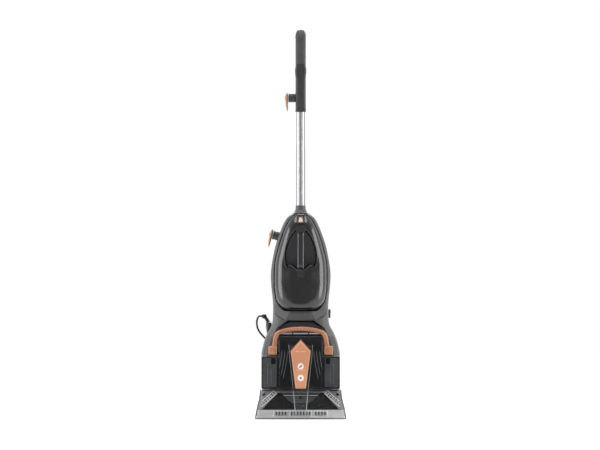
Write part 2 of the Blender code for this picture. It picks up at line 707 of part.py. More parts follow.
def make_arm(name, side):
    outline = arc((PIVOT_Y, PIVOT_Z), 0.018, pi, 2 * pi, 10)
    outline += [(PIVOT_Y + 0.018, PIVOT_Z + 0.03), (0.088, 0.196)]
    outline += [(0.020, 0.196), (PIVOT_Y - 0.018, PIVOT_Z + 0.03)]
    low, high = sorted((side * 0.0925, side * 0.0983))
    arm = plate(name, [outline], low, high, "X", BLACK)
    bore_ends = (side * 0.09, PIVOT_Y, PIVOT_Z), (side * 0.10, PIVOT_Y, PIVOT_Z)
    return cut(arm, rod(name + "_bore", *bore_ends, 0.0065, BLACK, 16))


def make_bulkhead():
    z = 0.1968
    half_width = curve_at(BODY_WIDTH, z) - 0.006
    front = half_ring(z, half_width, BODY_MIDDLE_Y, curve_at(BODY_FRONT_LOW, z) + 0.006, 4.0, 8)
    back = half_ring(z, half_width, BODY_MIDDLE_Y, curve_at(BODY_BACK, z) - 0.006, 2.8, 8)
    outline = [(p.x, p.y) for p in back] + [(p.x, p.y) for p in front[::-1][1:-1]]
    return plate("bulkhead", [outline], z, z + 0.004, "Z", BLACK)


def make_power_unit():
    motor = rod("suction_motor", (0, 0.045, 0.2015), (0, 0.045, 0.2620), 0.0420, STEEL, 24)
    fan = turned("suction_fan", [
        (0, 0.0090), (0.0100, 0.0090), (0.0400, 0.0050), (0.0400, 0.0), (0, 0.0),
    ], (0, 0.045, 0.2630), (0, 0, 1), STEEL, 20)
    pump = box("water_pump", (-0.0780, 0.050, 0.2015), (-0.0480, 0.085, 0.2350), BLACK, 0.003, 1)
    return motor, fan, pump


def make_mast():
    collar = turned("tube_collar", [
        (TUBE_RADIUS + GAP, 0.019), (0.0150, 0.019), (0.0158, 0.017),
        (0.0158, 0.0005), (TUBE_RADIUS + GAP, 0.0005),
    ], (0, BODY_MIDDLE_Y, 0.6190), (0, 0, 1), BLACK, 24, closed=True)
    tube = turned("chrome_tube", [
        (TUBE_RADIUS - 0.0015, TUBE_TOP), (TUBE_RADIUS, TUBE_TOP),
        (TUBE_RADIUS, 0.560), (TUBE_RADIUS - 0.0015, 0.560),
    ], (0, BODY_MIDDLE_Y, 0), (0, 0, 1), CHROME, 24, closed=True)
    return collar, tube


def grip_path():
    """The handle's outside from the front, over the top, down the back: corners as (y, z, radius)."""
    return [
        (0.0135, STEM_BOTTOM, 0.0), (0.0465, STEM_BOTTOM, 0.0), (0.0480, 0.9850, 0.015),
        (0.1360, 1.0290, 0.030), (0.1530, 1.1470, 0.028), (0.0180, HEIGHT + 0.0013, 0.026),
        (0.0120, 1.0400, 0.020),
    ]


def make_handle():
    outer = rounded(grip_path(), 4)
    inner = rounded([
        (0.0400, 1.0220, 0.012), (0.1120, 1.0560, 0.018), (0.1240, 1.1230, 0.016), (0.0440, 1.1380, 0.014),
    ], 3)
    halves = []
    for name, side in (("handle_left", -1), ("handle_right", 1)):
        low, high = sorted((side * GAP / 2, side * STEM_HALF_WIDTH))
        half = plate(name, [outer, inner[::-1]], low, high, "X", BLACK)
        edge = half.modifiers.new("edge", "BEVEL")
        edge.width = 0.0050
        edge.segments = 2
        edge.limit_method = "WEIGHT"
        weight_outside_edges(half, side)
        socket_ends = (0, BODY_MIDDLE_Y, 0.90), (0, BODY_MIDDLE_Y, TUBE_TOP + 0.002)
        socket = rod(name + "_socket", *socket_ends, TUBE_RADIUS + 0.0004, BLACK, 24)
        slot = box(name + "_slot", (-0.0066, 0.100, 1.0600), (0.0066, 0.1400, 1.1160), BLACK)
        halves.append(cut(half, socket, slot))
    return halves


def weight_outside_edges(obj, side):
    """Marks for the bevel the edges that lie in the half's outer face."""
    mesh = obj.data
    weights = mesh.attributes.new("bevel_weight_edge", "FLOAT", "EDGE")
    outside = side * STEM_HALF_WIDTH
    for edge in mesh.edges:
        places = [(obj.matrix_world @ mesh.vertices[v].co) for v in edge.vertices]
        flat = all(abs(p.x - outside) < 1e-5 for p in places)
        low = all(p.z < STEM_BOTTOM + 1e-4 for p in places)
        weights.data[edge.index].value = 1.0 if flat and not low else 0.0


def make_grip_pad():
    """Soft strip over the front, top and back of the grip."""
    outer = rounded(grip_path(), 4)
    path = [Vector(p) for p in outer if p[1] > 1.066 and (p[1] > 1.10 or p[0] < 0.05)]
    path.sort(key=lambda p: -atan2(p.y - 1.07, p.x - 0.08))
    start = Vector((0.0131, 1.0640))
    path = [start] + [p for p in path if p.x > 0.05 or p.y > 1.066]
    near = []
    far = []
    for i, point in enumerate(path):
        along = path[min(i + 1, len(path) - 1)] - path[max(i - 1, 0)]
        normal = Vector((-along.y, along.x)).normalized()
        near.append(point + normal * 2 * GAP)
        far.append(point + normal * 0.0032)
    outline = [tuple(p) for p in near] + [tuple(p) for p in reversed(far)]
    return bevel(plate("grip_pad", [outline], -0.0105, 0.0105, "X", RUBBER), 0.0008, 1)


def make_trigger():
    outline = rounded([
        (0.1275, 1.1140, 0.002), (0.1275, 1.0680, 0.003), (0.1140, 1.0640, 0.004),
        (0.1100, 1.0800, 0.006), (0.1170, 1.1140, 0.002),
    ], 3)
    return plate("trigger", [outline], -0.0058, 0.0058, "X", COPPER)


def hook_rings(top, centre_x, tilt):
    """A teardrop flange that tapers to its lower tip; tilt leans it about its top."""
    rings = []
    for drop, lean, half_x, half_y in (
        (0.000, 0.0005, 0.0020, 0.0060), (0.005, 0.0, 0.0038, 0.0130), (0.0155, 0.0, 0.0046, 0.0165),
        (0.030, 0.0, 0.0042, 0.0125), (0.045, 0.0010, 0.0028, 0.0065), (0.055, 0.0020, 0.0012, 0.0025),
    ):
        local = Vector((centre_x + lean, 0, -drop))
        place = Matrix.Rotation(tilt, 3, "Y") @ local
        rings.append([place + p for p in oval_ring((0, 0, 0), half_x, half_y, 2.2, 12, -tilt)])
    return [[Vector(top) + p for p in ring] for ring in rings]


def make_hooks():
    y = BODY_MIDDLE_Y
    upper_post = rod("upper_hook_post", (-0.0158, y, 0.9615), (-0.0365, y, 0.9615), 0.0132, BLACK, 20)
    upper = solid_loft("upper_hook", hook_rings((-0.0417, y, 0.9770), 0.0, 0.0), COPPER)
    lower_post = rod("lower_hook_post", (-0.0580, y, 0.5421), (-0.0835, y, 0.5490), 0.0132, BLACK, 20)
    lower = solid_loft("lower_hook", hook_rings((-0.0842, y, 0.5665), 0.0, radians(15)), COPPER)
    return upper_post, upper, lower_post, lower


def make_selector():
    profile = [(0, 0.0055), (0.0120, 0.0055), (0.0138, 0.0040), (0.0138, 0.0), (0, 0.0)]
    return turned("selector_knob", profile, (0.0842, BODY_MIDDLE_Y, 0.3120), (1, 0, 0), BLACK, 20)


def make_cord_outlet():
    y = 0.070
    rings = [
        oval_ring((-0.1010, y, 0.2520), 0.0020, 0.0040), oval_ring((-0.0990, y, 0.2600), 0.0046, 0.0080),
        oval_ring((-0.0970, y, 0.2720), 0.0080, 0.0105), oval_ring((-0.0962, y, 0.2820), 0.0090, 0.0105),
        oval_ring((-0.0965, y, 0.2848), 0.0082, 0.0095),
    ]
    return solid_loft("cord_outlet", rings, GRAPHITE)


def make_strain_relief():
    """Black boot: a flange, a slim neck and a flared elbow that turns the cord to the side."""
    path = [
        ((-0.0972, 0.0700, 0.2853), 0.0066, (0, 0, 1)),
        ((-0.0984, 0.0700, 0.2874), 0.0064, (-0.35, 0, 0.94)),
        ((-0.0992, 0.0700, 0.2888), 0.0046, (-0.5, 0, 0.87)),
        ((-0.1035, 0.0701, 0.2965), 0.0046, (-0.55, 0, 0.83)),
        ((-0.1078, 0.0704, 0.3018), 0.0068, (-0.80, 0.1, 0.6)),
        ((-0.1125, 0.0710, 0.3040), 0.0064, (-0.95, 0.25, 0.15)),
        ((-0.1172, 0.0719, 0.3036), 0.0042, (-0.80, 0.60, 0.0)),
    ]
    rings = []
    for place, radius, heading in path:
        heading = Vector(heading)
        across = heading.cross(Vector((0, 1, 0))).normalized()
        up = across.cross(heading).normalized()
        angles = [2 * pi * i / 12 for i in range(12)]
        rings.append([Vector(place) + (across * cos(a) + up * sin(a)) * radius for a in angles])
    return solid_loft("strain_relief", rings, BLACK)


def make_rear_details():
    grille = box("exhaust_grille", (-0.0305, 0.1200, 0.2285), (0.0305, 0.1262, 0.2715), BLACK, 0.001, 1)
    for row in range(5):
        z = 0.2345 + row * 0.0078
        cut(grille, box("vent_slot", (-0.0260, 0.110, z - 0.0016), (0.0260, 0.140, z + 0.0016), BLACK))
    outline = rounded([
        (0.1180, 0.3355, 0.001), (0.1262, 0.3355, 0.001), (0.1250, 0.3480, 0.0),
        (0.1290, 0.3605, 0.001), (0.1180, 0.3605, 0.001),
    ], 2)
    switch = plate("power_switch", [outline], -0.0100, 0.0100, "X", BLACK)
    return grille, switch


def make_upright():
    make_front_shell()
    make_rear_shell()
    make_arm("pivot_arm_left", -1)
    make_arm("pivot_arm_right", 1)
    make_bulkhead()
    fan = make_power_unit()[1]
    make_mast()
    make_handle()
    make_grip_pad()
    group("trigger_axis", (0, 0.1245, 1.1110), [make_trigger()])
    upper_hook = make_hooks()[1]
    group("upper_hook_axis", (-0.0417, BODY_MIDDLE_Y, 0.9615), [upper_hook])
    group("selector_axis", (0.0842, BODY_MIDDLE_Y, 0.3120), [make_selector()])
    make_cord_outlet()
    make_strain_relief()
    switch = make_rear_details()[1]
    group("switch_axis", (0, 0.1200, 0.3480), [switch])
    group("fan_axis", (0, 0.045, 0.2630), [fan])


# ---------------------------------------------------------------- clean water tank

def tank_rings(inset=0.0):
    rings = []
    for z in TANK_LEVELS:
        half_width = curve_at(TANK_WIDTH, z) - inset
        rings.append(half_ring(z, half_width, TANK_BACK_Y, curve_at(TANK_FRONT, z) + inset, 2.6, 14))
    return rings


def tank_outline(offset):
    """The clean tank's outline grown by an offset."""
    half = [(curve_at(TANK_WIDTH, z) + offset, z) for z in reversed(TANK_LEVELS)]
    half[0] = (half[0][0], half[0][1] + offset)
    half[-1] = (half[-1][0], half[-1][1] - offset)
    return mirrored(half)


def tank_block(name):
    return solid_loft(name, tank_rings(), SMOKED)


def recess_prism(name, shrink, floor_y):
    centre = Vector((0, 0.505))
    half = []
    for x, z in RECESS_HALF:
        inward = (centre - Vector((x, z))).normalized() * shrink
        half.append((x + inward.x, z + inward.y))
    return plate(name, [mirrored(half)], -0.100, floor_y, "Y", SMOKED)


def make_tank_shell():
    shell = surface("clean_tank_shell", tank_rings(), SMOKED, flip=True, caps=(True, True))
    thicken(shell, 0.002)
    pocket = box("latch_pocket", (-0.0118, -0.080, 0.5835), (0.0118, -0.0262, 0.6090), SMOKED)
    return cut(shell, recess_prism("recess_cut", 0.0, -0.030), pocket)


def make_recess_cup():
    cup = recess_prism("recess_cup", 0.0004, RECESS_FLOOR_Y)
    combine(cup, tank_block("cup_limit"), "INTERSECT")
    return cut(cup, recess_prism("recess_hollow", 0.0024, RECESS_FLOOR_Y - 0.002))


def make_tank_grip():
    bar = box("tank_grip", (-0.0110, -0.090, 0.4505), (0.0110, -0.0500, 0.5625), SMOKED)
    return combine(bar, tank_block("grip_limit"), "INTERSECT")


def make_latch():
    corners = (0.0105, 0.5845), (0.0075, 0.6080), (-0.0075, 0.6080), (-0.0105, 0.5845)
    trapezoid = [Vector((x, 0, z)) for x, z in corners]
    front_y = (-0.0560, -0.0440, -0.0440, -0.0560)
    front = [Vector((p.x, y, p.z)) for p, y in zip(trapezoid, front_y)]
    back = [Vector((p.x, -0.0320, p.z)) for p in trapezoid]
    return solid_loft("latch_button", [back, front], COPPER)


def make_clean_tank():
    shell = make_tank_shell()
    back = plate("clean_tank_back", [tank_outline(0.0)], TANK_BACK_Y + GAP, TANK_BACK_Y + 0.0022, "Y", SMOKED)
    seal = [tank_outline(0.0030), tank_outline(0.0005)[::-1]]
    gasket = plate("tank_gasket", seal, -0.0245, -0.0182, "Y", RUBBER)
    cup = make_recess_cup()
    grip = make_tank_grip()
    group("clean_tank_axis", (0, TANK_BACK_Y, TANK_BOTTOM), [shell, back, gasket, cup, grip])
    group("latch_axis", (0, -0.032, 0.596), [make_latch()])


# ---------------------------------------------------------------- mains cord

def make_cord():
    wire("cord_tube", smooth_route(CORD_ROUTE, 0.013), CORD_RADIUS, RUBBER, 2)
    inner = COIL_RADIUS - COIL_HALF_WIDTH
    outer = COIL_RADIUS + COIL_HALF_WIDTH
    profile = [
        (inner + 0.003, COIL_HEIGHT), (outer - 0.003, COIL_HEIGHT), (outer, COIL_HEIGHT - 0.003), (outer, 0.0),
        (inner, 0.0), (inner, COIL_HEIGHT - 0.003),
    ]
    turned("cord_coil", profile, (*COIL_CENTRE, 0.0004), (0, 0, 1), RUBBER, 26, closed=True)
    x, y = PLUG_CENTRE
    low = COIL_HEIGHT + 0.0007
    plug = box("power_plug", (x - 0.022, y - 0.018, low), (x + 0.022, y + 0.018, low + 0.019), BLACK, 0.004)
    blades = (-0.011, -0.006, 0.0032, 0.0020), (0.011, -0.006, 0.0032, 0.0020), (0.0, 0.010, 0.0020, 0.0040)
    for dx, dy, half_x, half_y in blades:
        corner = (x + dx - half_x, y + dy - half_y, low + 0.015)
        far_corner = (x + dx + half_x, y + dy + half_y, low + 0.037)
        join(plug, box("plug_pin", corner, far_corner, BLACK))


make_foot()
make_dirty_tank()
make_upright()
make_clean_tank()
make_cord()
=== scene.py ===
"""Looks of an upright carpet cleaner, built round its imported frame.

Metres, +Z up, -Y is the front. The origin is on the floor, under the middle of the machine.
"""

import json
from functools import partial
from math import atan2, cos, pi, radians, sin, tan

import bmesh
import bpy
from mathutils import Matrix, Vector

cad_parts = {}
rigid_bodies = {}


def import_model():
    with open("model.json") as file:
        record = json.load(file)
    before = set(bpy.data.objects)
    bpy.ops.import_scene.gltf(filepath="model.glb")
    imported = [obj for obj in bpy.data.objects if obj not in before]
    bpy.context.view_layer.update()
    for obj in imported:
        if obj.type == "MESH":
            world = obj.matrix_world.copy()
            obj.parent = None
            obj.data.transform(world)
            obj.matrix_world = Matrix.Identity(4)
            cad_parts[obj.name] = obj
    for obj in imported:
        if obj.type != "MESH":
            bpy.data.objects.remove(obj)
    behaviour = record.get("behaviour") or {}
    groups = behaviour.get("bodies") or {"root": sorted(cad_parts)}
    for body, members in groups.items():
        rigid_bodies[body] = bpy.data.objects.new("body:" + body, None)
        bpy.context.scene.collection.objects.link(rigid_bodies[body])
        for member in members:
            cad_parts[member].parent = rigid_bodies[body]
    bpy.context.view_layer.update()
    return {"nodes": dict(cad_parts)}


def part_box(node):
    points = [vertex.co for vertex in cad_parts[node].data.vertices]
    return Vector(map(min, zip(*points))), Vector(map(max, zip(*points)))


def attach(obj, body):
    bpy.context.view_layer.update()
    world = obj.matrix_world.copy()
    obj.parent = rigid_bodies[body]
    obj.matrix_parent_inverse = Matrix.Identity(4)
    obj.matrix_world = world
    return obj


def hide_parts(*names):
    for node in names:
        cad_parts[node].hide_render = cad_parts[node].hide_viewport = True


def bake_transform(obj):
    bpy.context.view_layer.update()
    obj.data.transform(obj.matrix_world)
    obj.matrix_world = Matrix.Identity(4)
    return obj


for leftover in list(bpy.data.objects):
    bpy.data.objects.remove(leftover)

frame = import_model()
NODES = frame["nodes"]

CAMERA_PLACE = (-0.002, -18.0, 0.579)
VIEW_PLANE_Y = -0.05
VIEW_WIDTH = 1.8
SENSOR_MM = 36.0
SIDES = (-1, 1)
TUBE_RADIUS = 0.0135


def link(name, data):
    """A new object of the scene."""
    made = bpy.data.objects.new(name, data)
    bpy.context.scene.collection.objects.link(made)
    return made


camera = link("camera", bpy.data.cameras.new("camera"))
camera.data.sensor_width = SENSOR_MM
camera.data.lens = SENSOR_MM * (VIEW_PLANE_Y - CAMERA_PLACE[1]) / VIEW_WIDTH
camera.location = CAMERA_PLACE
camera.rotation_euler = (radians(90), 0, 0)
bpy.context.scene.camera = camera
bpy.context.scene.view_settings.view_transform = "Standard"


# ---- materials

SOCKETS = {"gloss": "Specular IOR Level", "metal": "Metallic", "alpha": "Alpha"}
PATCH_SCALE, WEAR_SCALE = 14.0, 45.0
LINE_SCALE, SMEAR_SCALE = 700.0, 60.0
LINE_DEPTH = 0.00001
SMOOTHEST = 0.02


def add_node(tree, kind, inputs=(), **settings):
    """A new node with its settings; inputs name sockets and give each a value or another socket."""
    made = tree.nodes.new("ShaderNode" + kind)
    for name, value in settings.items():
        setattr(made, name, value)
    for socket, value in dict(inputs).items():
        feed(tree, made.inputs[socket], value)
    return made


def feed(tree, socket, value):
    """Links another node's output to a socket, or sets its plain value."""
    if isinstance(value, bpy.types.NodeSocket):
        tree.links.new(value, socket)
    else:
        socket.default_value = value


def noise(tree, scale, detail=3.0, stretch=(1, 1, 1)):
    """A noise texture in the frame's own metres."""
    place = add_node(tree, "TexCoord").outputs["Object"]
    mapped = add_node(tree, "Mapping", {"Scale": stretch, "Vector": place}).outputs["Vector"]
    return add_node(tree, "TexNoise", {"Scale": scale, "Detail": detail, "Vector": mapped}).outputs["Fac"]


def ramp(tree, value, *stops):
    """Colours along a value: each stop is (position, colour), where one number is a grey."""
    made = add_node(tree, "ValToRGB", {"Fac": value})
    elements = made.color_ramp.elements
    for _ in stops[2:]:
        elements.new(0.5)
    for element, (position, colour) in zip(elements, stops):
        element.position = position
        element.color = (*(colour if isinstance(colour, tuple) else (colour,) * 3), 1.0)
    return made.outputs["Color"]


def dress(tree, colour, roughness, down, up, height, depth, settings):
    """Feeds the Principled node; roughness wanders from down below its value to up above it."""
    place, source = roughness
    low = max(SMOOTHEST, place - down)
    inputs = {"Base Color": colour, "Roughness": ramp(tree, source, (0.3, low), (0.7, place + up))}
    inputs["Normal"] = add_node(tree, "Bump", {"Distance": depth, "Height": height}).outputs["Normal"]
    inputs.update((SOCKETS[key], value) for key, value in settings.items())
    for socket, value in inputs.items():
        feed(tree, tree.nodes["Principled BSDF"].inputs[socket], value)


def new_tree(name):
    made = bpy.data.materials.new(name)
    made.use_nodes = True
    return made, made.node_tree


def moulded(name, dark, light, roughness, grain=(900.0, 0.00006), spread=0.08, **settings):
    """Moulded plastic: uneven colour, a fine spark-eroded grain and patches handled smoother."""
    made, tree = new_tree(name)
    colour = ramp(tree, noise(tree, PATCH_SCALE), (0.35, dark), (0.65, light))
    handled = noise(tree, WEAR_SCALE, 5.0)
    scale, depth = grain
    dress(tree, colour, (roughness, handled), spread, spread, noise(tree, scale, 2.0), depth, settings)
    return made


def brushed(name, dark, light, roughness, stretch, shade=None):
    """Metal with fine drawn lines along one direction."""
    made, tree = new_tree(name)
    lines = noise(tree, LINE_SCALE, 4.0, stretch)
    colour = ramp(tree, lines, (0.3, dark), (0.7, light))
    # shade, when given, multiplies painted light and shade into the colour
    if shade:
        sockets = {"Factor": 1.0, "A": colour, "B": shade(tree)}
        colour = add_node(tree, "Mix", data_type="RGBA", blend_type="MULTIPLY")
        for socket, value in sockets.items():
            feed(tree, colour.inputs[socket], value)
        colour = colour.outputs["Result"]
    wear = (roughness, noise(tree, SMEAR_SCALE))
    dress(tree, colour, wear, 0.04, 0.06, lines, LINE_DEPTH, {"metal": 1.0})
    return made


def painted_tube_reflection(tree):
    """Painted reflection: soft lengthwise bands by the distance from the tube's middle, a darker middle line,
    lighter bands beside it and darker edges, in place of the studio's reflections.
    """
    place = add_node(tree, "TexCoord").outputs["Object"]
    split = add_node(tree, "SeparateXYZ", {"Vector": place})
    across = add_node(tree, "Math", {0: split.outputs["X"]}, operation="ABSOLUTE").outputs["Value"]
    reach = add_node(tree, "MapRange", {"From Max": TUBE_RADIUS, "Value": across}).outputs["Result"]
    levels = ((0.0, 0.66), (0.18, 0.82), (0.46, 0.8), (0.56, 0.38), (1.0, 0.4))
    return ramp(tree, reach, *[(at, (level, level, level * 1.01)) for at, level in levels])


painted = partial(moulded, grain=(2200.0, 0.00002), spread=0.05)
printed = partial(moulded, grain=(900.0, 0.00002))
glassy = partial(moulded, grain=(60.0, 0.00003), spread=0.03)
frosted = partial(moulded, grain=(300.0, 0.00002), spread=0.03)

GRAPHITE = moulded("graphite_plastic", (0.088, 0.089, 0.091), (0.104, 0.105, 0.108), 0.42, gloss=0.35)
GRAPHITE_DARK = moulded("graphite_dark_plastic", (0.036, 0.037, 0.04), (0.048, 0.049, 0.052), 0.45, gloss=0.3)
BLACK = moulded("black_plastic", (0.012, 0.012, 0.013), (0.018, 0.018, 0.019), 0.4)
SOFT_BLACK = moulded("soft_grip", (0.045, 0.045, 0.046), (0.06, 0.06, 0.061), 0.62, (1600.0, 0.0001))
RUBBER = moulded("rubber", 0.014, 0.024, 0.72, (1200.0, 0.0001))
TREAD = moulded("tyre_rubber", 0.018, (0.03, 0.029, 0.028), 0.8, (800.0, 0.00012))
CORD = moulded("cord_sheath", 0.01, 0.016, 0.42, (1500.0, 0.00004))
STRAP = moulded("woven_strap", (0.012, 0.012, 0.013), (0.03, 0.03, 0.031), 0.85, (700.0, 0.0003))
OUTLET = moulded("outlet_plastic", (0.055, 0.055, 0.057), (0.16, 0.16, 0.165), 0.5, (500.0, 0.0001))
COPPER = painted("copper_paint", (0.56, 0.24, 0.12), (0.64, 0.29, 0.155), 0.3, metal=0.35)
BAIL = painted("copper_bail", (0.46, 0.205, 0.11), (0.53, 0.25, 0.14), 0.34, metal=0.3)
PLATE = painted("copper_plate", (0.625, 0.27, 0.152), (0.7, 0.318, 0.185), 0.38, metal=0.25)
# Light copper painted highlight: the bail's edge lines and the front plate's raised lines and edge strips.
COPPER_HIGHLIGHT = painted("painted_copper_highlight", (0.78, 0.42, 0.255), (0.86, 0.49, 0.31), 0.32, metal=0.3)
LATCH_FRAME = painted("latch_frame_paint", (0.13, 0.062, 0.05), (0.18, 0.085, 0.068), 0.4, metal=0.3)
COPPER_DARK = painted("copper_shade", (0.24, 0.085, 0.04), (0.33, 0.125, 0.065), 0.4, metal=0.3)
# The hooks' copper is a darker copy of the copper paint: painted shade against the strong side light on them.
HOOK_SHADED_COPPER = painted("hook_copper_painted_shade", (0.34, 0.175, 0.1), (0.4, 0.21, 0.122), 0.34, metal=0.25)
SHOULDER = moulded("shoulder_plastic", (0.04, 0.042, 0.045), (0.06, 0.062, 0.066), 0.35, gloss=0.35)
HOUSING = moulded("housing_plastic", (0.003, 0.003, 0.0035), (0.006, 0.006, 0.0065), 0.5, gloss=0.1)
LIP_BACK = frosted("lip_back_clear", (0.38, 0.384, 0.389), (0.5, 0.505, 0.511), 0.2, alpha=0.95, gloss=0.3)
# Pale grey painted highlight for the dirty tank lid's top front edge.
LID_HIGHLIGHT = printed("lid_painted_highlight", (0.62, 0.63, 0.64), (0.72, 0.73, 0.74), 0.3)
# Lighter smoked grey: the nozzle's teeth, and painted reflection streaks on the dirty tank's face.
RIB_AND_STREAK_SMOKED = glassy("smoked_rib_and_painted_streak", (0.075, 0.077, 0.08), (0.105, 0.107, 0.11), 0.2, gloss=0.3)
# Pale pink painted highlight for the middle of the latch's copper button.
LATCH_HIGHLIGHT = printed("latch_painted_highlight", (0.62, 0.5, 0.47), (0.72, 0.6, 0.56), 0.4)
ICON_INK = printed("icon_ink", (0.1, 0.06, 0.04), (0.14, 0.09, 0.06), 0.5)
HANDLE = moulded("handle_plastic", (0.03, 0.03, 0.031), (0.04, 0.04, 0.042), 0.4, gloss=0.4)
RECESS = moulded("recess_plastic", (0.076, 0.073, 0.084), (0.094, 0.09, 0.104), 0.6, gloss=0.2)
BRISTLE = moulded("bristle_nylon", (0.025, 0.025, 0.027), (0.07, 0.07, 0.075), 0.55, (500.0, 0.0001))
CREAM = printed("cream_print", (0.78, 0.7, 0.62), (0.86, 0.8, 0.72), 0.45)
# The chrome tube's colour carries painted reflection bands, darker towards its edges.
CHROME = brushed("chrome", (0.8, 0.8, 0.82), (0.9, 0.9, 0.92), 0.1, (1, 1, 0.02), painted_tube_reflection)
STEEL = brushed("steel", (0.42, 0.42, 0.44), (0.56, 0.56, 0.58), 0.3, (0.03, 1, 1))
BRASS = brushed("brass_pins", (0.6, 0.47, 0.22), (0.72, 0.58, 0.3), 0.25, (1, 1, 0.05))
SMOKED = glassy("smoked_plastic", (0.006, 0.0063, 0.007), (0.009, 0.0094, 0.0105), 0.12, alpha=0.92,
                gloss=0.86)
DIRTY = glassy("smoked_dark_plastic", (0.006, 0.0062, 0.007), (0.01, 0.0105, 0.012), 0.16, alpha=0.93,
               gloss=0.25)
SMOKED_LIGHT = glassy("smoked_panel", (0.036, 0.038, 0.041), (0.056, 0.058, 0.062), 0.18, alpha=0.95,
                      gloss=0.3)
SMOKED_GLOSS = glassy("smoked_grip", (0.02, 0.02, 0.023), (0.028, 0.029, 0.032), 0.1)
RECESS_SMOKED = glassy("smoked_recess", (0.068, 0.068, 0.073), (0.092, 0.092, 0.098), 0.22)
# Pale grey painted highlights for the two edges of the clean tank's grip bar.
GRIP_HIGHLIGHT = printed("grip_painted_highlight", (0.11, 0.11, 0.115), (0.15, 0.15, 0.155), 0.25)
FAINT = glassy("faint_clear", (0.2, 0.205, 0.21), (0.24, 0.245, 0.25), 0.1, grain=(60.0, 0.00002),
               spread=0.02, alpha=0.06, gloss=0.2)
RAIL_SMOKED = frosted("rail_smoked", (0.15, 0.16, 0.17), (0.21, 0.222, 0.235), 0.16, alpha=0.85)
RAIL = frosted("rail_clear", (0.42, 0.43, 0.44), (0.52, 0.53, 0.54), 0.12, alpha=0.75)
LIP = frosted("lip_clear", (0.84, 0.85, 0.86), (0.9, 0.91, 0.92), 0.16, alpha=0.92, gloss=0.4)
CLEAR = glassy("clear_plastic", (0.16, 0.163, 0.166), (0.2, 0.203, 0.206), 0.12, alpha=0.03, gloss=0.1)
CLEAR_RIB = frosted("clear_rib_plastic", (0.66, 0.665, 0.67), (0.78, 0.785, 0.79), 0.16,
                    grain=(300.0, 0.00003), spread=0.04, alpha=0.85, gloss=0.3)
CLEAR_BACK = frosted("clear_back_plastic", (0.165, 0.167, 0.17), (0.235, 0.238, 0.242), 0.3,
                     grain=(300.0, 0.00003), spread=0.04, alpha=0.9, gloss=0.3)

CAD_LOOKS = (
    (HOUSING, "base_chassis brush_housing"),
    (BLACK, "base_side_left base_side_right belt_cover tank_deck bulkhead pivot_arm_left pivot_arm_right "
            "water_pump brush_pulley"),
    (STEEL, "brush_motor pivot_pin_left pivot_pin_right rear_axle suction_motor suction_fan motor_pulley"),
    (RUBBER, "drive_belt squeegee"), (SMOKED, "clean_tank_back"), (CLEAR, "tank_float"),
)
for cad_look, cad_names in CAD_LOOKS:
    for cad_name in cad_names.split():
        NODES[cad_name].data.materials.clear()
        NODES[cad_name].data.materials.append(cad_look)


# ---- shapes

WELD_DISTANCE = 0.000005


def spread(low, high, count):
    """Evenly spaced numbers from low to high, both included."""
    return [low + (high - low) * i / (count - 1) for i in range(count)]


def angles(count):
    """Evenly spaced angles round a full turn."""
    return [2 * pi * i / count for i in range(count)]


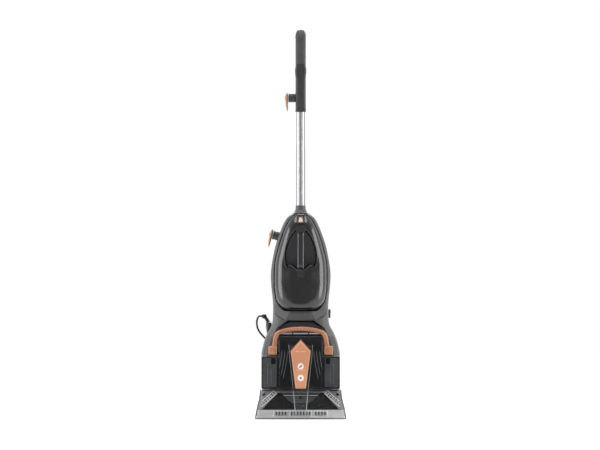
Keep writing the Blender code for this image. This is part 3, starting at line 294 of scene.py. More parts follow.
class Shape:
    """Collects closed or open surfaces into one mesh, then becomes a piece of the object."""

    def __init__(self):
        self.bm = bmesh.new()

    def loft(self, rings, closed=True, caps=True):
        """Faces between rings of points; caps close the first and the last."""
        rows = [[self.bm.verts.new(p) for p in ring] for ring in rings]
        faces = []
        for lower, upper in zip(rows, rows[1:]):
            pairs = list(zip(lower, upper))
            pairs = pairs + pairs[:1] if closed else pairs
            for (a, b), (c, d) in zip(pairs, pairs[1:]):
                faces.append(self.bm.faces.new((a, c, d, b)))
        if caps:
            faces += [self.bm.faces.new(rows[0][::-1]), self.bm.faces.new(rows[-1])]
            bmesh.ops.recalc_face_normals(self.bm, faces=faces)
        return self

    def slab(self, outline, at, low, high):
        """A flat outline of (u, v) points raised from low to high by at, which gives each point's place."""
        return self.loft([[at(u, v, w) for u, v in outline] for w in (low, high)])

    def box(self, low, high, edge=0.0, segments=2):
        """A block whose edges are rounded by edge."""
        size = [b - a for a, b in zip(low, high)]
        place = Matrix.Translation([(a + b) / 2 for a, b in zip(low, high)]) @ Matrix.Diagonal((*size, 1.0))
        made = bmesh.ops.create_cube(self.bm, size=1.0, matrix=place)
        if edge:
            painted_highlights = dict.fromkeys(e for v in made["verts"] for e in v.link_edges)
            bmesh.ops.bevel(self.bm, geom=list(painted_highlights), offset=edge, segments=segments, profile=0.5,
                            affect="EDGES")
        return self

    def prism(self, outline, low, high, axis="Y"):
        """A flat outline carried from low to high along X or Y."""
        return self.slab(outline, lambda u, v, w: Vector((w, u, v) if axis == "X" else (u, w, v)), low, high)

    def lathe(self, profile, centre, axis=(0, 0, 1), steps=48, closed=False):
        """Turns (radius, height) points about an axis through the centre."""
        turn = Vector(axis).to_track_quat("Z", "Y").to_matrix()
        rings = [
            [Vector(centre) + turn @ Vector((r * cos(a), r * sin(a), height)) for a in angles(steps)]
            for r, height in profile
        ]
        self.loft(rings + rings[:1] if closed else rings, caps=not closed)
        return self.face_outward() if closed else self

    def rod(self, start, end, radius, sides=16):
        """A straight round bar with chamfered ends."""
        length = (Vector(end) - Vector(start)).length
        ease = min(0.15 * radius, 0.2 * length)
        profile = [(radius - ease, 0), (radius, ease), (radius, length - ease), (radius - ease, length)]
        return self.lathe(profile, start, Vector(end) - Vector(start), sides)

    def sweep(self, points, radius, sides=8, tip=None, caps=True, flat=1.0):
        """A tube along points; radius may be a list, tip narrows both ends, flat squashes it."""
        points = [Vector(p) for p in points]
        radii = radius if isinstance(radius, list) else [radius] * len(points)
        if tip:
            radii = [tip, *radii[1:-1], tip]
        across = (points[1] - points[0]).normalized().orthogonal().normalized()
        rings = []
        for i, (point, size) in enumerate(zip(points, radii)):
            along = (points[min(i + 1, len(points) - 1)] - points[max(i - 1, 0)]).normalized()
            across = (across - along * across.dot(along)).normalized()
            up = along.cross(across) * flat
            rings.append([point + across * (size * cos(a)) + up * (size * sin(a)) for a in angles(sides)])
        return self.loft(rings, caps=caps)

    def turn(self, matrix):
        bmesh.ops.transform(self.bm, matrix=matrix, verts=self.bm.verts)
        return self

    def face_outward(self):
        bmesh.ops.recalc_face_normals(self.bm, faces=self.bm.faces)
        return self

    def flip(self):
        bmesh.ops.reverse_faces(self.bm, faces=self.bm.faces)
        return self

    def weld(self, distance=WELD_DISTANCE):
        bmesh.ops.remove_doubles(self.bm, verts=self.bm.verts, dist=distance)
        return self

    def to_object(self, name):
        mesh = bpy.data.meshes.new(name)
        self.bm.to_mesh(mesh)
        self.bm.free()
        return link(name, mesh)

    def piece(self, name, look, body, slot, stands_for=(), angle=35, edge=0.0, weld=True):
        """Makes the mesh a piece that rides on a body and wears the given look; slot is not used."""
        obj = (self.weld() if weld else self).to_object(name)
        obj.data.materials.append(look)
        obj.data.shade_smooth()
        obj.data.set_sharp_from_angle(angle=radians(angle))
        if edge:
            add_edge(obj, edge, angle=angle).harden_normals = True
        if body:
            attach(obj, body)
        if stands_for:
            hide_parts(*stands_for)
        return obj


def add_edge(obj, width, segments=2, angle=35):
    """Rounds the sharp edges of a piece."""
    bevel = obj.modifiers.new("edge", "BEVEL")
    bevel.width = width
    bevel.segments = segments
    bevel.limit_method = "ANGLE"
    bevel.angle_limit = radians(angle)
    return bevel


def apply_to(obj, *cutters, wall=0.0, angle=35):
    """Thickens a surface inward, cuts shapes out of it, and keeps the result as its mesh."""
    helpers = [cutter.weld().face_outward().to_object("cutter") for cutter in cutters]
    if wall:
        thick = obj.modifiers.new("wall", "SOLIDIFY")
        thick.thickness = wall
        thick.offset = -1
    for helper in helpers:
        boolean = obj.modifiers.new("cut", "BOOLEAN")
        boolean.operation = "DIFFERENCE"
        boolean.solver = "EXACT"
        boolean.object = helper
    look = obj.data.materials[0]
    obj.data = evaluated_mesh(obj)
    obj.modifiers.clear()
    obj.data.materials.clear()
    obj.data.materials.append(look)
    obj.data.set_sharp_from_angle(angle=radians(angle))
    for helper in helpers:
        bpy.data.objects.remove(helper)
    return obj


def evaluated_mesh(obj):
    bpy.context.view_layer.update()
    return bpy.data.meshes.new_from_object(obj.evaluated_get(bpy.context.evaluated_depsgraph_get()))


def smooth_route(points, spacing):
    """Points on a smooth curve through the route's own points."""
    knots = [Vector(p) for p in points]
    knots = [2 * knots[0] - knots[1], *knots, 2 * knots[-1] - knots[-2]]
    route = []
    for a, b, c, d in zip(knots, knots[1:], knots[2:], knots[3:]):
        count = max(1, round((c - b).length / spacing))
        for i in range(count):
            t = i / count
            cubic = 2 * b + (c - a) * t + (2 * a - 5 * b + 4 * c - d) * t**2 + (3 * b - a - 3 * c + d) * t**3
            route.append(0.5 * cubic)
    return route + [knots[-2]]


def curve_at(stations, z):
    """Smooth value at z through the stations, without overshoot."""
    zs, vs = zip(*stations)
    z = min(max(z, zs[0]), zs[-1])
    steep = [(vs[i + 1] - vs[i]) / (zs[i + 1] - zs[i]) for i in range(len(zs) - 1)]
    inner = [0.0 if a * b <= 0 else 2 * a * b / (a + b) for a, b in zip(steep, steep[1:])]
    slopes = [steep[0], *inner, steep[-1]]
    i = max(k for k in range(len(zs) - 1) if zs[k] <= z)
    span = zs[i + 1] - zs[i]
    t = (z - zs[i]) / span
    return (
        vs[i] * (2 * t**3 - 3 * t**2 + 1) + slopes[i] * span * (t**3 - 2 * t**2 + t)
        + vs[i + 1] * (3 * t**2 - 2 * t**3) + slopes[i + 1] * span * (t**3 - t**2)
    )


def half_ring(z, half_width, middle_y, end_y, power, count):
    """Half of a rounded section at height z, from +X round by end_y to -X."""
    ring = []
    for angle in spread(0, pi, count + 1):
        x = half_width * abs(cos(angle)) ** (2 / power) * (1 if angle <= pi / 2 else -1)
        ring.append(Vector((x, middle_y + (end_y - middle_y) * abs(sin(angle)) ** (2 / power), z)))
    return ring


def superoval(centre, half_x, half_y, power, count, tilt=0.0):
    """A level ring between an oval and a rectangle, leaned by tilt in the XZ plane."""
    ring = []
    for angle in angles(count):
        x = half_x * abs(cos(angle)) ** (2 / power) * (1 if cos(angle) >= 0 else -1)
        y = half_y * abs(sin(angle)) ** (2 / power) * (1 if sin(angle) >= 0 else -1)
        ring.append(Vector(centre) + Vector((x * cos(tilt), y, x * sin(tilt))))
    return ring


def rounded(corners, steps=6):
    """Rounds a polygon's corners: each corner is (u, v, radius)."""
    outline = []
    for i, (u, v, radius) in enumerate(corners):
        if not radius:
            outline.append((u, v))
            continue
        here = Vector((u, v))
        before = (Vector(corners[i - 1][:2]) - here).normalized()
        after = (Vector(corners[(i + 1) % len(corners)][:2]) - here).normalized()
        half = before.angle(after) / 2
        centre = here + (before + after).normalized() * (radius / sin(half))
        first = here + before * (radius / tan(half)) - centre
        last = here + after * (radius / tan(half)) - centre
        for turn in spread(0, -first.angle_signed(last), steps + 1):
            outline.append((
                centre.x + first.x * cos(turn) - first.y * sin(turn),
                centre.y + first.x * sin(turn) + first.y * cos(turn),
            ))
    return outline


def mirrored(half):
    """An outline from its right half, with a point on the middle line used once."""
    return half + [(-x, z) for x, z in reversed(half) if x]


def outline_box(x0, x1, z0, z1, radius, side=1, steps=3):
    return rounded([(side * x, z, radius) for x, z in ((x0, z0), (x1, z0), (x1, z1), (x0, z1))], steps)


# ---- mains cord

CORD_RADIUS = 0.003
COIL_CENTRE = Vector((-0.005, 0.268, 0.0))
COIL_OUTER = 0.0465
COIL_INNER = 0.0265
COIL_LAYERS = 6
LAYER_HEIGHT = 0.0062
COIL_FLOOR = 0.0035
STEPS_A_TURN = 24
STEPS_A_LAYER = 73
STEPS_A_RISE = 8
STEPS_TO_PLUG = 4
TAIL_BEND = 0.026
PLUG_ENTRY_Z = 0.0452
CORD_ROUTE = [
    (-0.1176, 0.0722, 0.3036), (-0.1235, 0.0786, 0.304), (-0.1285, 0.0864, 0.3003),
    (-0.1316, 0.0945, 0.2922), (-0.1326, 0.1022, 0.2815), (-0.131, 0.1092, 0.2694),
    (-0.1258, 0.1155, 0.2575), (-0.1175, 0.1216, 0.2465), (-0.1078, 0.1284, 0.236),
    (-0.098, 0.1372, 0.2225), (-0.0893, 0.1475, 0.203), (-0.0822, 0.159, 0.174),
    (-0.077, 0.171, 0.14), (-0.074, 0.185, 0.103), (-0.0715, 0.199, 0.068),
    (-0.068, 0.216, 0.037), (-0.064, 0.233, 0.016), (-0.06, 0.252, 0.006),
    (-0.058, 0.268, 0.0034),
]


def coil_route():
    """Flat layers of turns, wound inward and outward on top of each other, then over to the plug."""
    places = []

    def wind(radius, end_radius, z, end_z, count):
        for i in range(1, count + 1):
            places.append((radius + (end_radius - radius) * i / count, z + (end_z - z) * i / count))

    wind(COIL_CENTRE.x - CORD_ROUTE[-1][0], COIL_OUTER, CORD_ROUTE[-1][2], COIL_FLOOR, STEPS_A_RISE)
    for layer in range(COIL_LAYERS):
        z = COIL_FLOOR + layer * LAYER_HEIGHT
        first, last = (COIL_INNER, COIL_OUTER) if layer % 2 else (COIL_OUTER, COIL_INNER)
        wind(first, last, z, z, STEPS_A_LAYER)
        if layer + 1 < COIL_LAYERS:
            wind(last, last, z, z + LAYER_HEIGHT, STEPS_A_RISE)
    route = []
    for i, (radius, z) in enumerate(places, 1):
        angle = pi - 2 * pi * i / STEPS_A_TURN
        route.append(COIL_CENTRE + Vector((radius * cos(angle), radius * sin(angle), z)))
    top = places[-1][1]
    step = 2 * pi * COIL_OUTER / STEPS_A_TURN
    total = STEPS_TO_PLUG * step + pi / 2 * TAIL_BEND
    for i in range(1, STEPS_TO_PLUG + 1):
        route[i - STEPS_TO_PLUG - 1].z = top + (PLUG_ENTRY_Z - top) * i * step / total
    for angle in spread(0, pi / 2, 8)[1:]:
        z = top + (PLUG_ENTRY_Z - top) * (1 - (pi / 2 - angle) * TAIL_BEND / total)
        y = COIL_OUTER - TAIL_BEND + TAIL_BEND * cos(angle)
        route.append(COIL_CENTRE + Vector((TAIL_BEND * sin(angle), y, z)))
    return route


def make_cord():
    route = smooth_route(CORD_ROUTE, 0.004) + coil_route()
    cord = Shape().sweep(route, CORD_RADIUS, 10)
    cord = cord.piece("mains_cord", CORD, None, "rubber", ("cord_tube", "cord_coil"), weld=False)
    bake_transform(cord)
    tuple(CORD_ROUTE[0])
    make_plug(route)
    make_tie()


def make_plug(route):
    """Generic three-pin plug: rounded body with a raised face, brass pins and a ribbed sleeve on the cord."""
    low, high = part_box("power_plug")
    x, y, _ = (low + high) / 2
    top = low.z + 0.0188
    levels = (
        (low.z, 0.003), (low.z + 0.0012, 0.0006), (low.z + 0.003, 0.0), (low.z + 0.011, 0.0),
        (low.z + 0.0118, 0.0008), (low.z + 0.013, 0.0008), (top - 0.0024, 0.0004), (top - 0.0008, 0.0012),
        (top - 0.0008, 0.004), (top, 0.0044),
    )
    rings = [superoval((x, y, z), 0.0219 - inset, 0.0179 - inset, 4.0, 48) for z, inset in levels]
    body = Shape().loft(rings)
    for side in SIDES:
        for dy in (-0.009, -0.004, 0.001, 0.006):
            low_corner = (x + side * 0.0219 - 0.0007, y + dy - 0.0012, low.z + 0.004)
            body.box(low_corner, (x + side * 0.0219 + 0.0007, y + dy + 0.0012, low.z + 0.01), 0.0005)
    sleeve = route[-7:] + [route[-1] + Vector((0, -0.006, 0))]
    body.sweep(sleeve, [0.0036, 0.0044, 0.004, 0.005, 0.0045, 0.0056, 0.005, 0.006], 16)
    plug = body.piece("plug_body", BLACK, "base", "black", ("power_plug",))
    pins = Shape()
    for dx, dy, half_x, half_y in (
        (-0.011, -0.006, 0.0031, 0.0019), (0.011, -0.006, 0.0031, 0.0019), (0.0, 0.01, 0.0019, 0.0039),
    ):
        low_corner = (x + dx - half_x, y + dy - half_y, top - 0.001)
        pins.box(low_corner, (x + dx + half_x, y + dy + half_y, high.z), 0.0008)
    pins = pins.piece("plug_pins", BRASS, "base", "steel")
    pins.parent = plug
    pins.matrix_parent_inverse = Matrix.Identity(4)
    return plug


def make_tie():
    """A hook-and-loop strap round the coil's turns."""
    angle = radians(205)
    out = Vector((cos(angle), sin(angle), 0))
    aside = Vector((-sin(angle), cos(angle), 0))
    top = COIL_FLOOR + (COIL_LAYERS - 1) * LAYER_HEIGHT + CORD_RADIUS
    loops = []
    for gap, floor in ((0.0013, 0.0001), (0.0003, 0.0005)):
        inner, outer = COIL_INNER - CORD_RADIUS - gap, COIL_OUTER + CORD_RADIUS + gap
        corners = [(inner, floor, 0.002), (outer, floor, 0.002), (outer, top + gap, 0.004),
                   (inner, top + gap, 0.004)]
        loops.append(rounded(corners, 4))
    strap = Shape().loft([
        [COIL_CENTRE + out * r + aside * side + Vector((0, 0, z)) for r, z in loops[i]]
        for i, side in ((0, -0.006), (0, 0.006), (1, 0.006), (1, -0.006), (0, -0.006))
    ], caps=False)
    return strap.face_outward().piece("cord_tie", STRAP, "base", "rubber")


def make_boot():
    """Strain relief: a flange, a ringed neck and a cone with a flat end that the cord leaves to the side."""
    start = Vector((-0.0972, 0.07, 0.2854))
    neck_end = Vector((-0.1045, 0.0702, 0.2972))
    face = Vector((-0.111, 0.0712, 0.3042))
    boot = Shape().rod(start, (-0.0982, 0.07, 0.288), 0.0067, 24)
    neck = [start.lerp(neck_end, t) for t in spread(0.2, 1.0, 13)]
    boot.sweep(neck, [0.0046 + (0.0006 if i % 2 else 0.0) for i in range(13)], 24)
    out = Vector((-0.76, 0.0, 0.65)).normalized()
    rings = []
    for t, radius in ((0.0, 0.0045), (0.25, 0.0052), (0.85, 0.0075), (1.0, 0.0076), (1.03, 0.0066)):
        along = (neck_end - start).normalized().lerp(out, t).normalized()
        across = along.cross(Vector((0, 1, 0))).normalized()
        up = across.cross(along)
        place = neck_end.lerp(face, t)
        rings.append([place + (across * cos(a) + up * sin(a)) * radius for a in angles(28)])
    boot.loft(rings)
    tail = [(-0.1085, 0.071, 0.3025), (-0.112, 0.0713, 0.3036), (-0.115, 0.0717, 0.3038)]
    boot.sweep([*tail, Vector(CORD_ROUTE[0]) + Vector((0.0004, 0, 0))], [0.0064, 0.006, 0.0048, 0.0038], 20)
    boot.piece("cord_boot", RUBBER, "upright", "rubber", ("strain_relief",))


def make_outlet():
    """Teardrop cord outlet with close-set ridges."""
    wide = [(0.252, 0.0018), (0.26, 0.0046), (0.272, 0.008), (0.2805, 0.0091), (0.2848, 0.0082)]
    deep = [(0.252, 0.0038), (0.26, 0.008), (0.272, 0.0105), (0.2805, 0.0108), (0.2848, 0.0095)]
    middle = [(0.252, -0.101), (0.26, -0.099), (0.272, -0.097), (0.282, -0.0962), (0.2848, -0.0965)]
    rings = []
    for i, z in enumerate(spread(0.252, 0.2848, 31)):
        ridge = 0.0005 if i % 2 else 0.0
        half_x, half_y = curve_at(wide, z) - ridge, curve_at(deep, z) - ridge
        rings.append(superoval((curve_at(middle, z), 0.07, z), half_x, half_y, 2.3, 32))
    Shape().loft(rings).piece("cord_outlet_cover", OUTLET, "upright", "graphite", ("cord_outlet",), angle=60)


make_cord()
make_boot()
make_outlet()


# ---- foot

NOZZLE_BOTTOM = 0.0004
NOZZLE_TOP = 0.0885
NOZZLE_EDGE = 0.0032
SHEET = 0.001
NOZZLE_STATIONS = [
    (NOZZLE_BOTTOM, 0.1365), (0.014, 0.135), (0.038, 0.1305), (0.062, 0.1245), (NOZZLE_TOP, 0.1213),
]
PIVOT = Vector((0, 0.075, 0.075))
BARREL_RADIUS = 0.108
BARREL_WIDTH = ((0.0915, 0.0016), (0.0905, 0.0003), (0.088, 0.0), (0.045, 0.0))
BRUSH_AXIS = Vector((0, -0.1, 0.0255))
WHEEL_AXIS = Vector((0, 0.125, 0.047))
WHEEL_RADIUS = 0.047
WHEEL_WIDTH = 0.0147


def nozzle_face_y(z):
    return -0.183 + 0.043 * z / NOZZLE_TOP


def on_nozzle(x, z, depth):
    """A point behind the nozzle's front face by depth, kept clear of its rounded corners."""
    corner = max(0.0, abs(x) - (curve_at(NOZZLE_STATIONS, z) - 0.012))
    return Vector((x, nozzle_face_y(z) + depth + 0.8 * corner, z))


def make_nozzle_cover():
    rings = []
    for z in spread(NOZZLE_BOTTOM, NOZZLE_TOP, 24):
        half_width = curve_at(NOZZLE_STATIONS, z)
        front = nozzle_face_y(z)
        half = [(half_width, y) for y in (-0.112, -0.125, front + 0.012)]
        for a in spread(0.15, pi / 2, 8):
            half.append((half_width - 0.01 * (1 - cos(a)), front + 0.01 * (1 - sin(a))))
        half += [(half_width * share, front) for share in (0.75, 0.5, 0.25)]
        rings.append([Vector((x, y, z)) for x, y in mirrored([*half, (0, front)])[::-1]])
    cover = Shape().loft(rings, closed=False, caps=False)
    apply_to(cover.piece("nozzle_shell", CLEAR, "base", "clear", ("nozzle_cover",)), wall=0.0028)


def flat_bar(shape, start, end, width, depth, thick=0.0022):
    """A straight bar lying against the back of the nozzle's face, from (x, z) to (x, z)."""
    along = Vector((end[0] - start[0], end[1] - start[1])).normalized()
    side = Vector((-along.y, along.x)) * width / 2
    shape.loft([
        [on_nozzle(x + s * side.x, z + s * side.y, depth + back)
         for s, back in ((1, 0), (-1, 0), (-1, thick), (1, thick))]
        for x, z in (start, end)
    ])


def make_nozzle_ribs():
    """Braces, hatching and teeth moulded into the back of the clear nozzle."""
    ribs, pockets, teeth = Shape(), Shape(), Shape()
    start, end = Vector((0.072, 0.076)), Vector((0.117, 0.037))
    along = (end - start) / 7
    across = Vector((-along.y, along.x)).normalized() * 0.0115
    for side in SIDES:
        def bar(shape, a, b, width, depth):
            flat_bar(shape, (side * a[0], a[1]), (side * b[0], b[1]), width, depth)

        for share, width, count in ((0.0, 0.0024, 7), (0.5, 0.0012, 6), (1.0, 0.0022, 5.6)):
            a = start + across * share
            bar(ribs, a, a + along * count, width, 0.003)
        for i in range(7):
            a = start + along * i
            bar(ribs, a, a + across, 0.0013, 0.0032)
            for row, share in enumerate((0.27, 0.77)):
                if i < 6 and (i + row) % 3:
                    a = start + across * share + along * (i + 0.22)
                    bar(pockets, a, a + along * 0.62, 0.0034, 0.004)
        bar(pockets, (0.106, 0.0745), (0.114, 0.0715), 0.006, 0.004)
    for x in (0.033, 0.0815):
        for side in SIDES:
            flat_bar(ribs, (side * x, 0.007), (side * (x - 0.0018), 0.0265), 0.0026, 0.003)
    for i in range(-8, 9):
        x = 0.0091 * i
        if abs(abs(x) - 0.033) > 0.004:
            flat_bar(teeth, (x, 0.012), (x * 0.985, 0.0222), 0.0048, 0.004, 0.0012)
        flat_bar(ribs, (x + 0.0046, 0.0222), (x + 0.0046, 0.0262), 0.0038, 0.0031)
    for x, z, width, depth in ((0.074, 0.0804, 0.001, 0.0034), (0.052, 0.0705, 0.001, 0.0034),
                               (0.118, 0.0868, 0.0016, 0.003)):
        flat_bar(ribs, (-x, z), (x, z), width, depth)
    ribs.piece("nozzle_ribs", CLEAR_RIB, "base", "clear")
    pockets.piece("nozzle_pockets", HOUSING, "base", "clear")
    teeth.piece("nozzle_teeth", RIB_AND_STREAK_SMOKED, "base", "clear")


def nozzle_sheet(shape, levels, count, depth, span):
    """A thin sheet behind the nozzle's face, between the x values that span gives."""
    rings = []
    for z in levels:
        xs = spread(*span(z, curve_at(NOZZLE_STATIONS, z) - NOZZLE_EDGE), count)
        front, back = ([on_nozzle(x, z, depth + thick) for x in xs] for thick in (0.0, SHEET))
        rings.append(front + back[::-1])
    shape.loft(rings)


def make_nozzle_lining():
    """Clear sheets behind the ribs: one in each upper corner and one across the lip."""
    corners, lip = Shape(), Shape()
    for side in SIDES:
        nozzle_sheet(corners, spread(0.0272, 0.0835, 12), 10, 0.006,
                     lambda z, outer: (side * (0.117 - (z - 0.0272) * 0.97), side * outer))
    corners.piece("corner_lining", CLEAR_BACK, "base", "clear")
    nozzle_sheet(lip, spread(0.004, 0.028, 6), 40, 0.0058, lambda z, outer: (-outer, outer))
    lip.piece("lip_lining", LIP_BACK, "base", "clear")


def make_nozzle_edges():
    """The lip's bright bead, its darker lower edge and the two side walls."""
    lip, walls = Shape(), Shape()
    flat_bar(lip, (-0.1325, 0.0068), (0.1325, 0.0068), 0.0032, 0.0029, 0.003)
    lip.piece("nozzle_bead", LIP, "base", "clear", edge=0.0004)
    flat_bar(walls, (-0.1355, 0.0021), (0.1355, 0.0021), 0.0032, -0.0002, 0.006)
    for side in SIDES:
        rings = []
        for z in spread(0.001, 0.088, 14):
            x = curve_at(NOZZLE_STATIONS, z) + 0.0001
            front = nozzle_face_y(z) + 0.011
            corners = ((x, front), (x, -0.13), (x - 0.0036, -0.13), (x - 0.0036, front))
            rings.append([Vector((side * u, v, z)) for u, v in corners])
        walls.loft(rings)
    walls.piece("nozzle_walls", CLEAR_BACK, "base", "clear", edge=0.0006)


def make_duct(name, look, stations, face_y, body):
    """A shallow clear channel on a face: two bright side rails and a faint cover between them."""
    rails = Shape()
    for side in SIDES:
        rings = []
        for z, half_width in stations:
            x, y = side * half_width, face_y(z)
            inner = x - side * 0.0019
            rings.append([Vector(p) for p in (
                (x, y - 0.0003, z), (x, y - 0.0052, z), (inner, y - 0.0056, z), (inner, y - 0.0003, z),
            )])
        rails.loft(rings)
    rails.piece(name + "_rails", look, body, "clear", (name,), edge=0.0004)
    rings = []
    for z, half_width in stations:
        xs = spread(0.0019 - half_width, half_width - 0.0019, 9)
        rings.append([Vector((x, face_y(z) - 0.0046 - 0.0009 * (1 - (x / half_width) ** 2), z)) for x in xs])
    cover = Shape().loft(rings, closed=False, caps=False)
    apply_to(cover.piece(name + "_cover", FAINT, body, "clear"), wall=0.0007)


def make_housing_details():
    """The frame and the cap in front of the brush housing, seen through the nozzle."""
    def at(x, z, depth):
        return Vector((x, -0.16 + 0.0255 * (z - 0.0275) / 0.0525 - depth, z))

    upper = [(-0.06, 0.08), (0.06, 0.08), (0.037, 0.056), (0.024, 0.048), (-0.024, 0.048), (-0.037, 0.056)]
    window = Shape().slab(upper, at, 0.0002, 0.0022)
    window.piece("housing_window", GRAPHITE_DARK, "base", "black", edge=0.0008)
    cap = Shape()
    dome = [(0.0135 * cos(a), 0.0175 * sin(a)) for a in spread(0, pi, 17)]
    ends = ((1, 0.0002), (0.92, 0.0028))
    cap.loft([[at(x * k, 0.0285 + z * k, depth) for x, z in dome] for k, depth in ends])
    cap.slab(outline_box(-0.0045, 0.0045, 0.059, 0.069, 0.001), at, 0.002, 0.0034)
    cap.piece("housing_cap", HOUSING, "base", "black", edge=0.0005)


def make_brush():
    def bar(x0, x1, radius, sides=40):
        core.rod((x0, *BRUSH_AXIS.yz), (x1, *BRUSH_AXIS.yz), radius, sides)

    core = Shape()
    bar(-0.083, 0.083, 0.014)
    bar(-0.0905, 0.0905, 0.0038, 20)
    for side in SIDES:
        bar(side * 0.0815, side * 0.0845, 0.0165)
    core.piece("brush_core", BLACK, "brush", "rubber", ("brush_roller",))
    tufts = Shape()
    for row, start in enumerate(angles(6)):
        for x in spread(-0.0785, 0.0785, 32):
            angle = start + 1.6 * x / 0.0785 * (1 if row % 2 else -1) * 0.35
            profile = [(0.0013, 0.0132), (0.0015, 0.0185), (0.0021, 0.0238), (0.0012, 0.0243)]
            tufts.lathe(profile, (x, *BRUSH_AXIS.yz), (0, cos(angle), sin(angle)), 8)
    tufts.piece("brush_tufts", BRISTLE, "brush", "rubber")


def make_wheel(name, side):
    """Ribbed tyre round a dished hub with spokes."""
    centre = Vector((side * 0.1018, WHEEL_AXIS.y, WHEEL_AXIS.z))
    axis = (side, 0, 0)
    profile = [(0.034, 0.0004), (0.044, 0.0), (0.0462, 0.0012)]
    for z in spread(0.0022, 0.011, 5):
        for dip, rise in ((0, 0), (0, 0.0014), (0.0007, 0.0016), (0.0007, 0.002)):
            profile.append((WHEEL_RADIUS - dip, z + rise))
    profile += [(0.0462, WHEEL_WIDTH - 0.0012), (0.044, WHEEL_WIDTH), (0.035, WHEEL_WIDTH),
                (0.034, WHEEL_WIDTH - 0.0015)]
    tyre = Shape().lathe(profile, centre, axis, 72, closed=True)
    tyre.piece(name + "_tyre", TREAD, name, "tread", (name,))
    profile = [
        (0.0046, 0.0004), (0.0342, 0.0006), (0.0342, WHEEL_WIDTH - 0.002), (0.0325, WHEEL_WIDTH - 0.001),
        (0.031, WHEEL_WIDTH - 0.003), (0.029, 0.008), (0.014, 0.0092), (0.012, 0.0126), (0.0046, 0.0128),
    ]
    hub = Shape().lathe(profile, centre, axis, 60, closed=True)
    for angle in angles(6):
        out = Vector((0, cos(angle), sin(angle)))
        start = centre + Vector((side * 0.0092, 0, 0)) + out * 0.012
        hub.sweep([start, start + out * 0.018], 0.0018, flat=0.9)
    hub.face_outward().piece(name + "_hub", GRAPHITE, name, "graphite")


def on_barrel(angle, radius, x):
    return PIVOT + Vector((x, radius * cos(angle), radius * sin(angle)))


def make_barrel_cover():
    half = [(x, BARREL_RADIUS - dip) for x, dip in BARREL_WIDTH]
    row = [(-x, radius) for x, radius in half] + [(0.0, BARREL_RADIUS)] + half[::-1]
    rings = [[on_barrel(radians(a), radius, x) for x, radius in row] for a in spread(172, -20, 80)]
    cover = Shape().loft(rings, closed=False, caps=False).flip()
    apply_to(cover.piece("barrel_cover", GRAPHITE, "base", "graphite", ("base_top_cover",)), wall=0.0025)
    ribs = Shape()
    for degrees in (36, 30, 24, 18):
        route = [on_barrel(radians(degrees), BARREL_RADIUS - 0.0006, x) for x in (-0.06, -0.058, 0.058, 0.06)]
        ribs.sweep(route, 0.0022, 10, 0.0008)
    ribs.piece("barrel_ribs", GRAPHITE, "base", "graphite")


def make_pedal():
    outline = [(0.1475, 0.033), (0.1475, 0.024), (0.165, 0.02), (0.182, 0.0215), (0.182, 0.0265),
               (0.16, 0.03)]
    pedal = Shape().prism(rounded([(*corner, 0.002) for corner in outline], 4), -0.075, -0.03, "X")
    for y in (0.164, 0.168, 0.172, 0.176):
        z = 0.03 - (y - 0.16) * 0.0035 / 0.022
        pedal.sweep([(x, y, z) for x in (-0.0715, -0.07, -0.035, -0.0335)], 0.0009, tip=0.0003)
    pedal.piece("pedal_plate", COPPER, "pedal", "copper", ("recline_pedal",), edge=0.0008)


def make_foot_screws():
    """Cap screws in the side plates and the belt cover."""
    screws = Shape()
    profile = [(0.0008, 0.0002), (0.0008, 0.001), (0.0026, 0.0012), (0.003, 0.0008), (0.003, -0.0006)]
    for x, y, z in (
        (0.1085, -0.115, 0.056), (0.1085, -0.01, 0.055), (0.1085, -0.115, 0.017), (0.1085, -0.01, 0.017),
        (0.0915, 0.02, 0.045), (0.0915, 0.07, 0.03), (-0.0915, 0.02, 0.045), (-0.0915, 0.07, 0.03),
        (-0.0925, -0.115, 0.06), (-0.0925, -0.08, 0.02),
    ):
        screws.lathe(profile, (x, y, z), (1 if x > 0 else -1, 0, 0), 20)
    screws.piece("foot_screws", STEEL, "base", "steel")


make_nozzle_cover()
make_nozzle_ribs()
make_nozzle_lining()
make_nozzle_edges()
make_duct("nozzle_duct", RAIL, list(zip(spread(0.014, 0.0882, 8), spread(0.0165, 0.0233, 8))), nozzle_face_y,
          "base")
make_housing_details()
make_brush()
make_wheel("wheel_left", -1)
make_wheel("wheel_right", 1)
make_barrel_cover()
make_pedal()
make_foot_screws()


# ---- dirty water tank

POD_HALF_WIDTH = 0.1175
CENTRE_HALF_WIDTH = 0.0648
POD_TOP = 0.1868
DIRTY_BOTTOM = 0.0895
DIRTY_TOP = 0.2475
DIRTY_BACK = -0.0398
BAIL_PIVOT = Vector((0, -0.1, 0.2))
BAIL_LEAN = Matrix.Translation(BAIL_PIVOT) @ Matrix.Rotation(radians(-5), 4, "X")
BAIL_LEAN @= Matrix.Translation((0, 0, -BAIL_PIVOT.z))
BAIL_OUTSIDE = [(0.0905, 0.212), (0.085, 0.22), (0.0832, 0.23), (0.0825, 0.239), (0.079, 0.249)]
BAIL_INSIDE = [(0.0745, 0.212), (0.07, 0.22), (0.0692, 0.23), (0.069, 0.237), (0.0665, 0.2445)]


def slope_y(z):
    return -0.15 + 0.27 * (z - DIRTY_BOTTOM)


def tank_front_y(z):
    """The tank's front: a straight slope that rolls back near the top."""
    return slope_y(z) + 4.0 * max(0.0, z - 0.2) ** 2


def on_pod(x, z, proud):
    return Vector((x, slope_y(z) - proud, z))


def on_plate(x, z, proud):
    return Vector((x, slope_y(z) - 0.0064 - proud, z))


